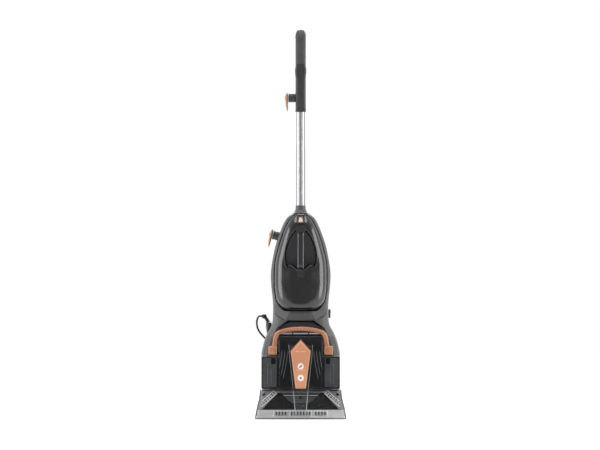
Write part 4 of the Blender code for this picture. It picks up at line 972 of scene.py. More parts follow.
def make_dirty_shell():
    """Two side pods in one block, a taller centre and the bosses that the bail turns on."""
    low = DIRTY_BOTTOM + 0.002
    for name, half_width, levels, lift, back, corners, edge, stands_for in (
        ("pods", POD_HALF_WIDTH, [DIRTY_BOTTOM, 0.12, 0.15, POD_TOP], 0.0, DIRTY_BACK,
         (POD_TOP, DIRTY_BOTTOM),
         (0.0045, 4), ("dirty_tank_shell",)),
        ("centre", CENTRE_HALF_WIDTH, [low, 0.12, 0.15, 0.18] + spread(0.2, DIRTY_TOP, 10), 0.0025,
         DIRTY_BACK - 0.0005, (DIRTY_TOP, low), (0.003, 3), ()),
    ):
        outline = [(tank_front_y(z) - lift, z) for z in levels] + [(back, z) for z in corners]
        block = Shape().prism(outline, -half_width, half_width, "X")
        add_edge(block.piece("dirty_tank_" + name, DIRTY, "dirty_tank", "smoked", stands_for), *edge)
    bosses = Shape()
    for side in SIDES:
        bosses.rod((side * 0.062, *BAIL_PIVOT.yz), (side * 0.0712, *BAIL_PIVOT.yz), 0.0055, 28)
    bosses.piece("bail_bosses", BLACK, "dirty_tank", "smoked")


def make_tank_panels():
    """Raised panels, lighter lines on the tank's face that are painted reflection streaks, and the black
    slots under the bail's ends.
    """
    panels, ribs, slots = Shape(), Shape(), Shape()
    for side in SIDES:
        outline = [(0.0715, 0.096), (0.113, 0.094), (0.113, 0.1822), (0.0715, 0.1822)]
        panels.slab(rounded([(side * x, z, 0.004) for x, z in outline], 4), on_pod, 0.0, 0.0011)
        # Curved lines in the centre and straight lines on the pods: painted reflection streaks.
        for reach, low_z in ((-0.009, 0.15), (0.0, 0.128), (0.0085, 0.118)):
            route = []
            for z in spread(low_z, 0.205, 18):
                x = 0.0475 - reach + 0.0125 * ((0.205 - z) / 0.08) ** 1.5
                route.append((side * x, tank_front_y(z) - 0.0022, z))
            ribs.sweep(route, [0.0003, 0.0006] + [0.0011] * 14 + [0.0006, 0.0003])
        for x, top in ((0.088, 0.15), (0.0985, 0.166)):
            route = [on_pod(side * x, z, 0.0012) for z in (0.104, 0.106, top - 0.002, top)]
            ribs.sweep(route, 0.0009, tip=0.0003)
        slots.slab(outline_box(0.075, 0.088, 0.164, 0.182, 0.002, side), on_pod, -0.001, 0.0018)
        seam = ((0.087, -0.001), (0.113, -0.001), (0.113, 0.0006), (0.087, 0.0006))
        slots.loft([[on_pod(side * x, z, proud) for x, proud in seam] for z in (0.1832, 0.1846)])
    panels.piece("pod_panels", SMOKED_LIGHT, "dirty_tank", "smoked", edge=0.0006)
    ribs.piece("tank_painted_streaks", RIB_AND_STREAK_SMOKED, "dirty_tank", "smoked")
    slots.piece("pod_slots", HOUSING, "dirty_tank", "smoked", edge=0.0004)


def make_tank_lid():
    low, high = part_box("dirty_tank_lid")
    lid, highlight_dashes = Shape(), Shape()
    levels = (low.z, low.z + 0.003, high.z - 0.0015, high.z)
    for z0, z1, inset in zip(levels, levels[1:], (0.0, 0.0012, 0.0004)):
        lid.box((low.x + inset, low.y + inset, z0), (high.x - inset, high.y - inset, z1), 0.0008)
    lid.piece("dirty_lid", GRAPHITE_DARK, "dirty_tank", "smoked", ("dirty_tank_lid",))
    # Three pale dashes along the lid's top front edge: a painted highlight on its rim.
    for x0, x1 in ((-0.061, -0.026), (-0.022, 0.022), (0.026, 0.061)):
        highlight_dashes.box((x0, low.y - 0.0016, high.z - 0.0036), (x1, low.y + 0.003, high.z + 0.0002), 0.0007)
    highlight_dashes.piece("lid_highlight_dashes", LID_HIGHLIGHT, "dirty_tank", "smoked")


def make_front_plate():
    """Pencil-shaped copper plate over a black backing whose rim is also painted shadow round the plate, with
    raised lines and edge strips in light copper as painted highlights, and two generic icons.
    """
    backing_and_shadow, plate, relief_and_highlights = Shape(), Shape(), Shape()
    # The black rim that the backing shows round the plate is also painted shadow.
    backing_and_shadow.slab(mirrored([(0, 0.2395), (0.0335, 0.204), (0.0185, 0.0905)]), on_plate, 0.0, 0.0008)
    backing_and_shadow.piece("plate_backing_and_shadow", BLACK, "dirty_tank", "black", ("front_plate",), edge=0.0003)
    plate.slab(mirrored([(0, 0.236), (0.03, 0.203), (0.015, 0.0912)]), on_plate, 0.0008, 0.0024)
    plate.slab(mirrored([(0, 0.231), (0.0262, 0.202), (0.013, 0.094)]), on_plate, 0.002, 0.003)
    plate.piece("front_plate_face", PLATE, "dirty_tank", "copper", edge=0.0005)
    # Raised lines and the strips down both edges take light copper: painted highlights.
    for side in SIDES:
        for low, high, line in (
            (0.0028, 0.0036, ((0.001, 0.1985), (0.015, 0.1995), (0.015, 0.2035), (0.001, 0.2025))),
            (0.002, 0.0032, ((0.0292, 0.2015), (0.027, 0.2015), (0.0129, 0.0925), (0.0146, 0.0925))),
            (0.0028, 0.0035, ((0.0, 0.23), (0.0252, 0.202), (0.0222, 0.202), (0.0, 0.2262))),
            (0.0028, 0.0033, ((0.013, 0.147), (0.001, 0.147), (0.001, 0.144), (0.013, 0.144))),
        ):
            relief_and_highlights.slab([(side * x, z) for x, z in line], on_plate, low, high)
    relief_and_highlights.piece("front_plate_relief_and_highlights", COPPER_HIGHLIGHT, "dirty_tank", "copper", edge=0.0002)

    def disc(shape, centre, radius, low, high, squash=1.0, tilt=0.0):
        turn = Matrix.Rotation(tilt, 2)
        ring = [turn @ Vector((radius * cos(a), radius * squash * sin(a))) for a in angles(32)]
        shape.slab([(p.x, centre + p.y) for p in ring], on_plate, low, high)

    icons, marks = Shape(), Shape()
    for centre, radius, squash, tilt in ((0.157, 0.0062, 0.3, radians(38)), (0.1225, 0.003, 1.0, 0.0)):
        disc(icons, centre, 0.0094, 0.0028, 0.0036)
        disc(marks, centre, radius, 0.0034, 0.0038, squash, tilt)
    icons.piece("icon_discs", CREAM, "dirty_tank", "copper")
    marks.piece("icon_marks", ICON_INK, "dirty_tank", "copper")


def make_carry_handle():
    """Copper bail: arms with boxed ends and a ribbed arch; light copper lines on the ends' and arms' outer
    edges are painted highlights, and the ribs' darker copper is painted shade.
    """
    outline = BAIL_OUTSIDE + [(0.079 * cos(a), 0.249 + 0.0255 * sin(a)) for a in spread(0.08, pi - 0.08, 33)]
    outline += [(-x, z) for x, z in reversed(BAIL_OUTSIDE)] + [(-x, z) for x, z in BAIL_INSIDE]
    outline += [(0.0665 * cos(a), 0.2445 + 0.018 * sin(a))
                for a in spread(pi - 0.08, 0.08, 33)] + BAIL_INSIDE[::-1]
    bail, ends, painted_glints, ribs = Shape(), Shape(), Shape(), Shape()
    bail.prism(outline, -0.0058, 0.0058).face_outward().turn(BAIL_LEAN)
    add_edge(bail.piece("bail_arch", BAIL, "carry_handle", "copper", ("carry_handle",)), 0.0024, 3)
    for side in SIDES:
        low_x, high_x = sorted((side * 0.0715, side * 0.0955))
        ends.box((low_x, -0.0066, 0.1885), (high_x, 0.0062, 0.2165), 0.0026, 3)
        ends.box((low_x + 0.004, -0.0074, 0.1935), (high_x - 0.004, -0.005, 0.2115), 0.001)
        # Thin light copper lines on the boxed ends' outer edges and along the arms: painted highlights.
        for x in (0.0946, 0.0724):
            painted_glints.sweep([(side * x, -0.0062, z) for z in (0.1905, 0.1915, 0.2135, 0.2145)], 0.0011,
                         tip=0.0004)
        edge = [(0.0848, 0.2195), (0.0828, 0.23), (0.082, 0.239), (0.0784, 0.25), (0.0735, 0.258),
                (0.064, 0.264)]
        painted_glints.sweep([(side * (x - 0.0012), -0.0056, z - 0.0006) for x, z in edge], 0.0009)
    # The ribs under the arch are darker copper: painted shade.
    for angle in spread(0.45, pi - 0.45, 17):
        x, z = 0.071 * cos(angle), 0.245 + 0.0197 * sin(angle)
        ribs.box((x - 0.0017, -0.0066, z - 0.0035), (x + 0.0017, 0.0054, z + 0.0026), 0.0005, 1)
    for shape, name, look in ((ends, "ends", COPPER), (painted_glints, "painted_highlights", COPPER_HIGHLIGHT),
                              (ribs, "ribs", COPPER_DARK)):
        shape.turn(BAIL_LEAN).piece("bail_" + name, look, "carry_handle", "copper")


make_dirty_shell()
make_tank_panels()
make_tank_lid()
make_duct("tank_duct", RAIL_SMOKED, [
    (0.09, 0.0233), (0.12, 0.0268), (0.15, 0.0302), (0.176, 0.0334), (0.1985, 0.0352), (0.213, 0.0364),
    (0.221, 0.037),
], tank_front_y, "dirty_tank")
make_front_plate()
make_carry_handle()


# ---- upright body

BODY_MIDDLE_Y = 0.03
SEAM = 0.0012
HOOD_RADIUS = 0.1115
LEDGE = (0.314, 0.3185)
SHELL_WALL = 0.0025
BODY_WIDTH = [
    (0.15, 0.1185), (0.184, 0.1185), (0.221, 0.112), (0.254, 0.1), (0.278, 0.0872), (0.298, 0.0838),
    (0.33, 0.0832), (0.425, 0.0902), (0.494, 0.0812), (0.566, 0.059), (0.602, 0.0405), (0.618, 0.0195),
]
BODY_FRONT_LOW = [(0.15, -0.038), (0.254, -0.039), (0.3, -0.046), (0.314, -0.046)]
BODY_FRONT_HIGH = [(0.3185, -0.0175), (0.586, -0.0165), (0.604, -0.01), (0.618, 0.0105)]
BODY_BACK = [(0.15, 0.119), (0.24, 0.127), (0.34, 0.125), (0.45, 0.116), (0.56, 0.09), (0.618, 0.0495)]
BODY_CROWN = [0.605, 0.609, 0.613, 0.616, 0.618]
LOW_POWER, HIGH_POWER, BACK_POWER = 4.0, 7.0, 2.8
CRADLE_EDGE = [
    (0.0, 0.3205), (0.044, 0.3205), (0.052, 0.3232), (0.06, 0.3295), (0.068, 0.34), (0.074, 0.353),
    (0.0782, 0.37), (0.0829, 0.39),
]


def faceted(point):
    """Cuts the brow under the clean tank into a centre facet and a facet turned outward on each side."""
    x, z = abs(point.x), point.z
    if z < 0.262:
        return point
    crease = 0.033 + (LEDGE[0] - z) * 0.56
    limit = -0.0462 + (LEDGE[0] - z) * 0.1
    if x > crease:
        limit += (x - crease) * 0.56 - 1.2 * max(0.0, 0.293 + (x - 0.045) * 0.61 - z)
    return Vector((point.x, max(point.y, limit), z))


def shell_y(x, z, end_y, power):
    """The y of a body section at x, where end_y is its y on the middle line."""
    reach = max(0.0, 1 - min(1.0, abs(x) / curve_at(BODY_WIDTH, z)) ** power) ** (1 / power)
    return BODY_MIDDLE_Y + (end_y - BODY_MIDDLE_Y) * reach


def body_ring(z, ends, power, seam, count):
    return half_ring(z, curve_at(BODY_WIDTH, z), BODY_MIDDLE_Y + seam, curve_at(ends, z), power, count)


def shell_cutters():
    """The foot's round hood and the lower hook's post."""
    hood = Shape().rod((-0.2, *PIVOT.yz), (0.2, *PIVOT.yz), HOOD_RADIUS, 96)
    return hood, Shape().rod((-0.05, BODY_MIDDLE_Y, 0.54), (-0.095, BODY_MIDDLE_Y, 0.552), 0.014, 32)


def recess_outline(grow):
    return mirrored([(0.04 + grow, 0.293 + grow), (0.071 + grow, 0.27), (0.076 + grow, 0.258),
                     (0.076 + grow, 0.236)])


def make_front_shell():
    rings = []
    for z in spread(0.15, 0.254, 24) + spread(0.257, LEDGE[0], 44):
        rings.append([faceted(p) for p in body_ring(z, BODY_FRONT_LOW, LOW_POWER, -SEAM / 2, 160)])
    for z in spread(LEDGE[1], 0.6, 46) + BODY_CROWN:
        power = HIGH_POWER - 4.8 * max(0.0, (z - 0.6) / 0.018)
        rings.append(body_ring(z, BODY_FRONT_HIGH, power, -SEAM / 2, 160))
    shell = Shape().loft(rings, closed=False, caps=False).flip()
    shell = shell.piece("front_shell", GRAPHITE, "upright", "graphite", ("body_front_shell",), angle=28)
    recess = Shape().prism(recess_outline(0.0), -0.07, -0.0335)
    apply_to(shell, *shell_cutters(), recess, wall=SHELL_WALL, angle=52)
    wall, floor = (
        [[Vector((x, y, z)) for x, z in recess_outline(grow)] for y, grow in pair]
        for pair in (((-0.0385, 0.0004), (-0.027, -0.006)), ((-0.027, -0.006), (-0.0262, -0.007)))
    )
    pan = Shape().loft(wall, caps=False).loft(floor)
    pan.piece("finger_recess", RECESS, "upright", "graphite", angle=25)


def make_shoulder_panels():
    """Darker pieces laid over the body's face beside the bail's ends."""
    panels = Shape()
    for side in SIDES:
        rings = []
        for z in spread(0.1895, 0.245, 16):
            xs = spread(0.069, curve_at(BODY_WIDTH, z) - 0.0035, 12)
            front = curve_at(BODY_FRONT_LOW, z)
            outer, inner = (
                [Vector((side * x, shell_y(x, z, front - lift, LOW_POWER), z)) for x in xs]
                for lift in (0.0008, -0.0006)
            )
            rings.append(outer + inner[::-1])
        panels.loft(rings)
    panels.piece("shoulder_panels", SHOULDER, "upright", "graphite", edge=0.0003)


def make_cradle():
    """Fills the corner between the brow and the clean tank, up to just under the tank's curved lower edge."""
    foot = LEDGE[0] - 0.0005
    rings = []
    for x in spread(-0.0829, 0.0829, 140):
        top = curve_at(CRADLE_EDGE, abs(x))
        low = faceted(Vector((x, shell_y(x, LEDGE[0], -0.046, LOW_POWER) - SEAM / 2, foot))).y - 0.0002
        ring = [Vector((x, max(low, -0.01) + 0.004, foot - 0.0005))]
        for z in spread(foot, top - 0.0005, 12):
            high = shell_y(x, z, -0.0175, HIGH_POWER) - SEAM / 2 - 0.0004
            ring.append(Vector((x, low + (high - low) * min(1.0, (z - foot) / 0.0745), z)))
        ring.append(Vector((x, max(ring[-1].y, -0.01) + 0.004, top)))
        rings.append(ring)
    Shape().loft(rings).piece("tank_cradle", GRAPHITE, "upright", "graphite", angle=55)


def make_rear_shell():
    rings = []
    for z in spread(0.15, 0.6, 80) + BODY_CROWN:
        power = BACK_POWER - 0.6 * max(0.0, (z - 0.6) / 0.018)
        rings.append(body_ring(z, BODY_BACK, power, SEAM / 2, 80))
    shell = Shape().loft(rings, closed=False, caps=False)
    shell = shell.piece("rear_shell", GRAPHITE, "upright", "graphite", ("body_rear_shell",), angle=28)
    vent = Shape().box((-0.031, 0.11, 0.228), (0.031, 0.14, 0.272))
    window = Shape().box((-0.011, 0.1, 0.3325), (0.011, 0.14, 0.364))
    apply_to(shell, *shell_cutters(), vent, window, wall=SHELL_WALL)
    rings = []
    for z in spread(0.385, 0.575, 24):
        wide = 0.024 - 0.01 * (z - 0.385) / 0.19
        proud = 0.0058 * min(1.0, 12 * (z - 0.384), 12 * (0.576 - z)) - 0.004
        section = ((-1, -0.002), (-0.92, proud), (0, proud), (0.92, proud), (1, -0.002))
        rings.append([Vector((wide * share, curve_at(BODY_BACK, z) + lift, z)) for share, lift in section])
    spine = Shape().loft(rings, closed=False, caps=False).flip()
    spine = spine.piece("rear_spine", GRAPHITE_DARK, "upright", "graphite")
    add_edge(apply_to(spine, wall=0.003), 0.0012)


def make_body_screws():
    screws = Shape()
    profile = [(0.0008, 0.0008), (0.001, 0.0016), (0.0032, 0.002), (0.0036, 0.0014), (0.0036, 0.0),
               (0.005, -0.0006)]
    for half_x, z in ((0.07, 0.2), (0.06, 0.33), (0.055, 0.46), (0.032, 0.555)):
        for side in SIDES:
            place = (side * half_x, shell_y(half_x, z, curve_at(BODY_BACK, z), BACK_POWER) - 0.0012, z)
            screws.lathe(profile, place, Vector((side * half_x * 0.45, 0.1, 0.0)).normalized(), 24)
    screws.piece("body_screws", GRAPHITE_DARK, "upright", "graphite")


def make_selector():
    """Fluted knob with a pointer."""
    centre = Vector((0.0842, BODY_MIDDLE_Y, 0.312))
    neck = Shape().rod((0.078, *centre.yz), (0.0839, *centre.yz), 0.0118, 40)
    neck.piece("selector_neck", GRAPHITE_DARK, "upright", "graphite", edge=0.0004)
    rings = []
    for x, radius, flute in (
        (0.0, 0.0128, 0.0), (0.0006, 0.0137, 0.0005), (0.0042, 0.0136, 0.0006), (0.0052, 0.0126, 0.0003),
        (0.0055, 0.0112, 0.0),
    ):
        sizes = [(a, radius - flute * (0.5 + 0.5 * cos(20 * a))) for a in angles(120)]
        rings.append([centre + Vector((x, size * cos(a), size * sin(a))) for a, size in sizes])
    knob = Shape().loft(rings)
    knob.box(centre + Vector((0.0048, -0.0012, 0.002)), centre + Vector((0.0062, 0.0012, 0.0118)), 0.0004)
    knob.piece("selector_dial", BLACK, "selector", "black", ("selector_knob",))


HOOK_LEAN = [(0.0, 0.0005), (0.005, 0.0), (0.03, 0.0), (0.045, 0.001), (0.055, 0.002)]
HOOK_THICK = [
    (0.0, 0.0016), (0.002, 0.0028), (0.005, 0.0038), (0.0155, 0.0046), (0.03, 0.0042), (0.045, 0.0028),
    (0.055, 0.001),
]
HOOK_WIDE = [
    (0.0, 0.0045), (0.002, 0.009), (0.005, 0.013), (0.0155, 0.0165), (0.03, 0.0125), (0.045, 0.0065),
    (0.055, 0.002),
]


def make_hook(name, post_start, post_end, top, tilt, body):
    """A teardrop blade that tapers to its lower tip, leaned by tilt about its top, on a round post."""
    turn = Matrix.Rotation(tilt, 3, "Y")
    post_start, post_end, top = (Vector((x, BODY_MIDDLE_Y, z)) for x, z in (post_start, post_end, top))
    out = (post_end - post_start).normalized()
    rings = []
    for drop in spread(0.0, 0.055, 28):
        place = top + turn @ Vector((curve_at(HOOK_LEAN, drop), 0, -drop))
        rings.append(superoval(place, curve_at(HOOK_THICK, drop), curve_at(HOOK_WIDE, drop), 2.3, 40, -tilt))
    cap = [(0.0062, 0.0), (0.0062, 0.0018), (0.005, 0.0026), (0.001, 0.0028)]
    flange = Shape().loft(rings).lathe(cap, top + turn @ Vector((-0.0032, 0, -0.0155)), out, 32)
    # The blade wears the darker copy of the copper paint: painted shade.
    flange.piece(name + "_flange", HOOK_SHADED_COPPER, body, "copper", (name,))
    length = (post_end - post_start).length
    post = Shape().lathe([
        (0.0118, 0.0), (0.0122, 0.001), (0.0122, length * 0.3), (0.013, length * 0.36),
        (0.013, length * 0.62), (0.0124, length * 0.66), (0.0124, length - 0.004),
        (0.0133, length - 0.003), (0.0133, length - 0.0006), (0.012, length),
    ], post_start, out, 48)
    post.piece(name + "_post", HANDLE, "upright", "black", (name + "_post",))


make_front_shell()
make_shoulder_panels()
make_cradle()
make_rear_shell()
make_body_screws()
make_selector()
make_hook("upper_hook", (-0.015, 0.9615), (-0.0366, 0.9615), (-0.0417, 0.977), 0.0, "upper_hook_swivel")
make_hook("lower_hook", (-0.058, 0.5421), (-0.0836, 0.549), (-0.0842, 0.5665), radians(15), "upright")


# ---- clean water tank

TANK_BACK_Y = -0.0205
TANK_POWER = 2.6
TANK_WIDTH = [
    (0.3245, 0.046), (0.334, 0.06), (0.356, 0.073), (0.41, 0.0785), (0.456, 0.0775),
    (0.51, 0.0665), (0.56, 0.0505), (0.598, 0.03), (0.612, 0.015),
]
TANK_FRONT = [
    (0.3245, -0.056), (0.328, -0.069), (0.333, -0.0732), (0.34, -0.0743), (0.43, -0.075), (0.51, -0.07),
    (0.58, -0.054), (0.612, -0.032),
]
TANK_LEVELS = [0.3245, 0.3265, 0.329, 0.332, 0.336, 0.341] + spread(0.347, 0.596, 44)
TANK_LEVELS += [0.6, 0.604, 0.608, 0.612]
RECESS_SIDE = [(0.016, 0.566), (0.03, 0.549), (0.04, 0.53), (0.047, 0.508), (0.05, 0.484), (0.0475, 0.464),
               (0.042, 0.45)]
RECESS_FOOT = [(0.042, 0.45), (0.034, 0.459), (0.022, 0.453), (0.013, 0.444)]
RECESS_MIDDLE = Vector((0, 0.505))
RECESS_FLOOR = -0.0275
GRIP_BACK = -0.049
LATCH_LOW, LATCH_HIGH = 0.5845, 0.605


def tank_face_y(x, z):
    """The front of the clean tank at a point of its outline."""
    reach = max(0.0, 1 - min(1.0, abs(x) / curve_at(TANK_WIDTH, z)) ** TANK_POWER) ** (1 / TANK_POWER)
    return TANK_BACK_Y + (curve_at(TANK_FRONT, z) - TANK_BACK_Y) * reach


def recess_ring():
    """The finger recess's outline in x and z."""
    side, foot = (smooth_route([(x, 0, z) for x, z in line], 0.004) for line in (RECESS_SIDE, RECESS_FOOT))
    return mirrored([(p.x, p.z) for p in side + foot[1:]])


def make_tank_shell():
    rings = [
        half_ring(z, curve_at(TANK_WIDTH, z), TANK_BACK_Y, curve_at(TANK_FRONT, z), TANK_POWER, 72)
        for z in TANK_LEVELS
    ]
    tank = Shape().loft(rings, closed=False, caps=False)
    for ring in (rings[0], rings[-1][::-1]):
        tank.bm.faces.new([tank.bm.verts.new(p) for p in ring])
    tank = tank.weld().flip().piece("tank_shell", SMOKED, "clean_tank", "smoked", ("clean_tank_shell",))
    cutter = Shape().prism(recess_ring(), -0.11, RECESS_FLOOR - 0.002)
    pocket = Shape().box((-0.0118, -0.08, 0.5835), (0.0118, -0.0262, 0.609))
    apply_to(tank, cutter, pocket, wall=0.002)


def make_recess():
    outline = recess_ring()

    def ring(shrink, y=None, lift=0.0):
        points = []
        for x, z in outline:
            u, v = Vector((x, z)) + (RECESS_MIDDLE - Vector((x, z))).normalized() * shrink
            points.append(Vector((u, tank_face_y(u, v) - lift if y is None else y, v)))
        return points

    floor = ring(0.006, RECESS_FLOOR - 0.0005)
    steps = ((-0.0012, -0.0008), (-0.001, 0.0007), (0.0004, 0.0006), (0.001, -0.0015))
    lip = [ring(shrink, lift=lift) for shrink, lift in steps]
    cup = Shape().loft([*lip, ring(0.0022, RECESS_FLOOR - 0.01), floor], caps=False)
    cup.loft([floor, [p + Vector((0, 0.0006, 0)) for p in floor]])
    cup.piece("recess_wall", RECESS_SMOKED, "clean_tank", "smoked", ("recess_cup",), angle=30)


def make_grip():
    """Upright bar across the recess, with two pale stripes that are painted highlights on its edges, a foot
    and a band over its top.
    """
    rings = []
    for z in spread(0.442, 0.564, 36):
        front = tank_face_y(0, z) - 0.0006
        ease = min(1.0, 60 * (z - 0.44), 60 * (0.5655 - z))
        half_y = (GRIP_BACK - front) / 2 * ease
        rings.append(superoval((0, (front + GRIP_BACK) / 2, z), 0.0108, half_y, 3.2, 36))
    Shape().loft(rings).piece("grip_bar", SMOKED_GLOSS, "clean_tank", "smoked", ("tank_grip",))
    highlight_stripes, trims = Shape(), Shape()
    for side in SIDES:
        points = [(side * 0.0078, tank_face_y(0, z) - 0.0002, z) for z in spread(0.448, 0.556, 24)]
        highlight_stripes.sweep(points, 0.0015, 12, 0.0004)
    highlight_stripes.piece("grip_painted_highlights", GRIP_HIGHLIGHT, "clean_tank", "smoked")
    for z0, z1, half_width in ((0.422, 0.44, 0.0105), (0.556, 0.576, 0.015)):
        rings = []
        for z in spread(z0, z1, 6):
            wide = half_width * (1 - 0.12 * abs(2 * (z - z0) / (z1 - z0) - 1))
            xs = spread(-wide, wide, 11)
            line = [(x, 0.0012) for x in xs] + [(x, -0.0012) for x in xs[::-1]]
            rings.append([Vector((x, tank_face_y(x, z) - lift, z)) for x, lift in line])
        trims.loft(rings)
    trims.piece("grip_trims", BLACK, "clean_tank", "smoked", edge=0.0005)


def make_gasket():
    def ring(offset, y):
        half = []
        for z in reversed(TANK_LEVELS):
            rise = offset if z == TANK_LEVELS[-1] else -offset if z == TANK_LEVELS[0] else 0.0
            half.append((curve_at(TANK_WIDTH, z) + offset, z + rise))
        return [Vector((x, y, z)) for x, z in mirrored(half)]

    section = (
        (0.0006, -0.0182), (0.0033, -0.0182), (0.0033, -0.0236), (0.0024, -0.0248), (0.0012, -0.0248),
        (0.0006, -0.0236), (0.0006, -0.0182),
    )
    seal = Shape().loft([ring(offset, y) for offset, y in section], caps=False).face_outward()
    seal.piece("tank_seal", RUBBER, "clean_tank", "rubber", ("tank_gasket",))


def make_latch():
    """Copper frame round a raised pale centre, a painted highlight on the copper button."""
    def ring(shrink, lift):
        half = [(0.0105 - shrink, LATCH_LOW + shrink), (0.0078 - shrink, LATCH_HIGH - shrink)]
        return [Vector((x, -0.056 + 0.012 * (z - LATCH_LOW) / 0.0235 - lift, z)) for x, z in mirrored(half)]

    back = [Vector((p.x, -0.032, p.z)) for p in ring(0.0, 0.0)]
    frame_rings = [ring(*step) for step in ((0.0, 0.0), (0.0008, 0.0012), (0.003, 0.0012), (0.0034, 0.0002))]
    border = Shape().loft([back, *frame_rings])
    border.piece("latch_frame", LATCH_FRAME, "latch", "copper", ("latch_button",), edge=0.0003)
    painted_highlight = Shape().loft([ring(*step) for step in ((0.0036, -0.001), (0.0036, 0.001), (0.0044, 0.0016))])
    painted_highlight.piece("latch_painted_highlight", LATCH_HIGHLIGHT, "latch", "copper", edge=0.0003)


make_tank_shell()
make_recess()
make_grip()
make_gasket()
make_latch()


# ---- tube and handle

TUBE_BOTTOM = 0.56
TUBE_TOP = 0.95
STEM_BOTTOM = 0.919
STEM_HALF_WIDTH = 0.0155
GRIP_PATH = [
    (0.0135, STEM_BOTTOM, 0.0), (0.0465, STEM_BOTTOM, 0.0), (0.048, 0.985, 0.015), (0.136, 1.029, 0.03),
    (0.153, 1.147, 0.028), (0.018, 1.1683, 0.026), (0.012, 1.04, 0.02),
]
GRIP_HOLE = [(0.04, 1.022, 0.012), (0.112, 1.056, 0.018), (0.124, 1.123, 0.016), (0.044, 1.138, 0.014)]
PAD_SECTION = [(0.0124, -0.0026), (0.012, -0.0006), (0.0106, 0.0012), (0.006, 0.0027), (0, 0.0033)]


def rounded_plate(outlines, half_width, radius):
    """A plate with rounded edges from flat outlines in y and z: its outside, then its holes."""
    curve = bpy.data.curves.new("outline", "CURVE")
    curve.dimensions = "2D"
    curve.fill_mode = "BOTH"
    curve.extrude = half_width - radius
    curve.bevel_depth = radius
    curve.bevel_resolution = 4
    curve.offset = -radius
    for points in outlines:
        spline = curve.splines.new("POLY")
        spline.points.add(len(points) - 1)
        spline.use_cyclic_u = True
        for slot, (y, z) in zip(spline.points, points):
            slot.co = (y, z, 0, 1)
    flat = link("outline", curve)
    shape = Shape()
    shape.bm.from_mesh(evaluated_mesh(flat))
    bpy.data.objects.remove(flat)
    for vert in shape.bm.verts:
        vert.co = vert.co.zxy
    return shape.weld(0.00002).face_outward()


def make_handle():
    outlines = [rounded(GRIP_PATH, 12), rounded(GRIP_HOLE, 10)[::-1]]
    for name, side in (("handle_left", -1), ("handle_right", 1)):
        half = rounded_plate(outlines, STEM_HALF_WIDTH, 0.0095)
        half = half.piece(name + "_shell", HANDLE, "upright", "black", (name,), angle=30)
        low, high = sorted((-side * 0.03, side * 0.00015))
        other_side = Shape().box((low, -0.05, 0.88), (high, 0.2, 1.2))
        socket_top = (0, BODY_MIDDLE_Y, TUBE_TOP + 0.002)
        socket = Shape().rod((0, BODY_MIDDLE_Y, 0.9), socket_top, TUBE_RADIUS + 0.0004, 48)
        slot = Shape().box((-0.0066, 0.1, 1.06), (0.0066, 0.14, 1.116))
        apply_to(half, other_side, socket, slot, angle=30)
        normals = half.modifiers.new("normals", "WEIGHTED_NORMAL")
        normals.weight = 100
        normals.keep_sharp = True
    bottom = STEM_BOTTOM + 0.0005
    levels = [(bottom, 0.975), (bottom + 0.0012, 1.0), (0.9288, 1.0), (0.93, 0.975)]
    rings = [superoval((0, BODY_MIDDLE_Y, z), 0.016 * k, 0.0172 * k, 4.0, 48) for z, k in levels]
    collar = Shape().loft(rings)
    rings = []
    for share in spread(0.0, 1.0, 13):
        swell = sin(pi * share)
        place = (0, 0.0262, 1.022 + 0.04 * share)
        rings.append(superoval(place, 0.0146 + 0.0026 * swell, 0.0136 + 0.0008 * swell, 4.0, 48))
    collar.loft(rings).box((-0.003, 0.02, TUBE_TOP + 0.0003), (0.003, 0.036, 1.04))
    collar.piece("stem_collar", HANDLE, "upright", "black")
    screws = Shape()
    profile = [(0.001, 0.0002), (0.0012, 0.0012), (0.003, 0.0014), (0.0033, 0.0008), (0.0033, -0.001)]
    for y, z in ((0.03, 0.975), (0.028, 1.03), (0.128, 1.05), (0.03, 1.145)):
        screws.lathe(profile, (-STEM_HALF_WIDTH, y, z), (-1, 0, 0), 20)
    screws.piece("handle_screws", STEEL, "upright", "black")


def make_grip_pad():
    """Soft strip over the front, top and back of the grip, with shallow cross grooves."""
    path = [Vector(p) for p in rounded(GRIP_PATH, 12) if p[1] > 1.066 and (p[1] > 1.1 or p[0] < 0.05)]
    path.sort(key=lambda p: -atan2(p.y - 1.07, p.x - 0.08))
    path.insert(0, Vector((0.0131, 1.064)))
    dense = []
    for a, b in zip(path, path[1:]):
        count = max(1, round((b - a).length / 0.0022))
        dense += [a.lerp(b, i / count) for i in range(count)]
    dense.append(path[-1])
    last = len(dense) - 1
    section = [(-x, lift) for x, lift in PAD_SECTION] + PAD_SECTION[-2::-1]
    rings = []
    for i, point in enumerate(dense):
        along = dense[min(i + 1, last)] - dense[max(i - 1, 0)]
        out = Vector((-along.y, along.x)).normalized()
        groove = 0.0007 if i % 3 == 1 and 6 < i < last - 5 else 0.0
        ease = min(1.0, (i + 0.6) / 3, (last - i + 0.6) / 3)
        ring = []
        for x, lift in section:
            lift -= groove if lift > 0.002 else 0.0
            place = point + out * (lift * (ease if lift > 0 else 1.0))
            ring.append(Vector((x, *place)))
        rings.append(ring)
    Shape().loft(rings).piece("grip_cover", SOFT_BLACK, "upright", "rubber", ("grip_pad",), angle=50)


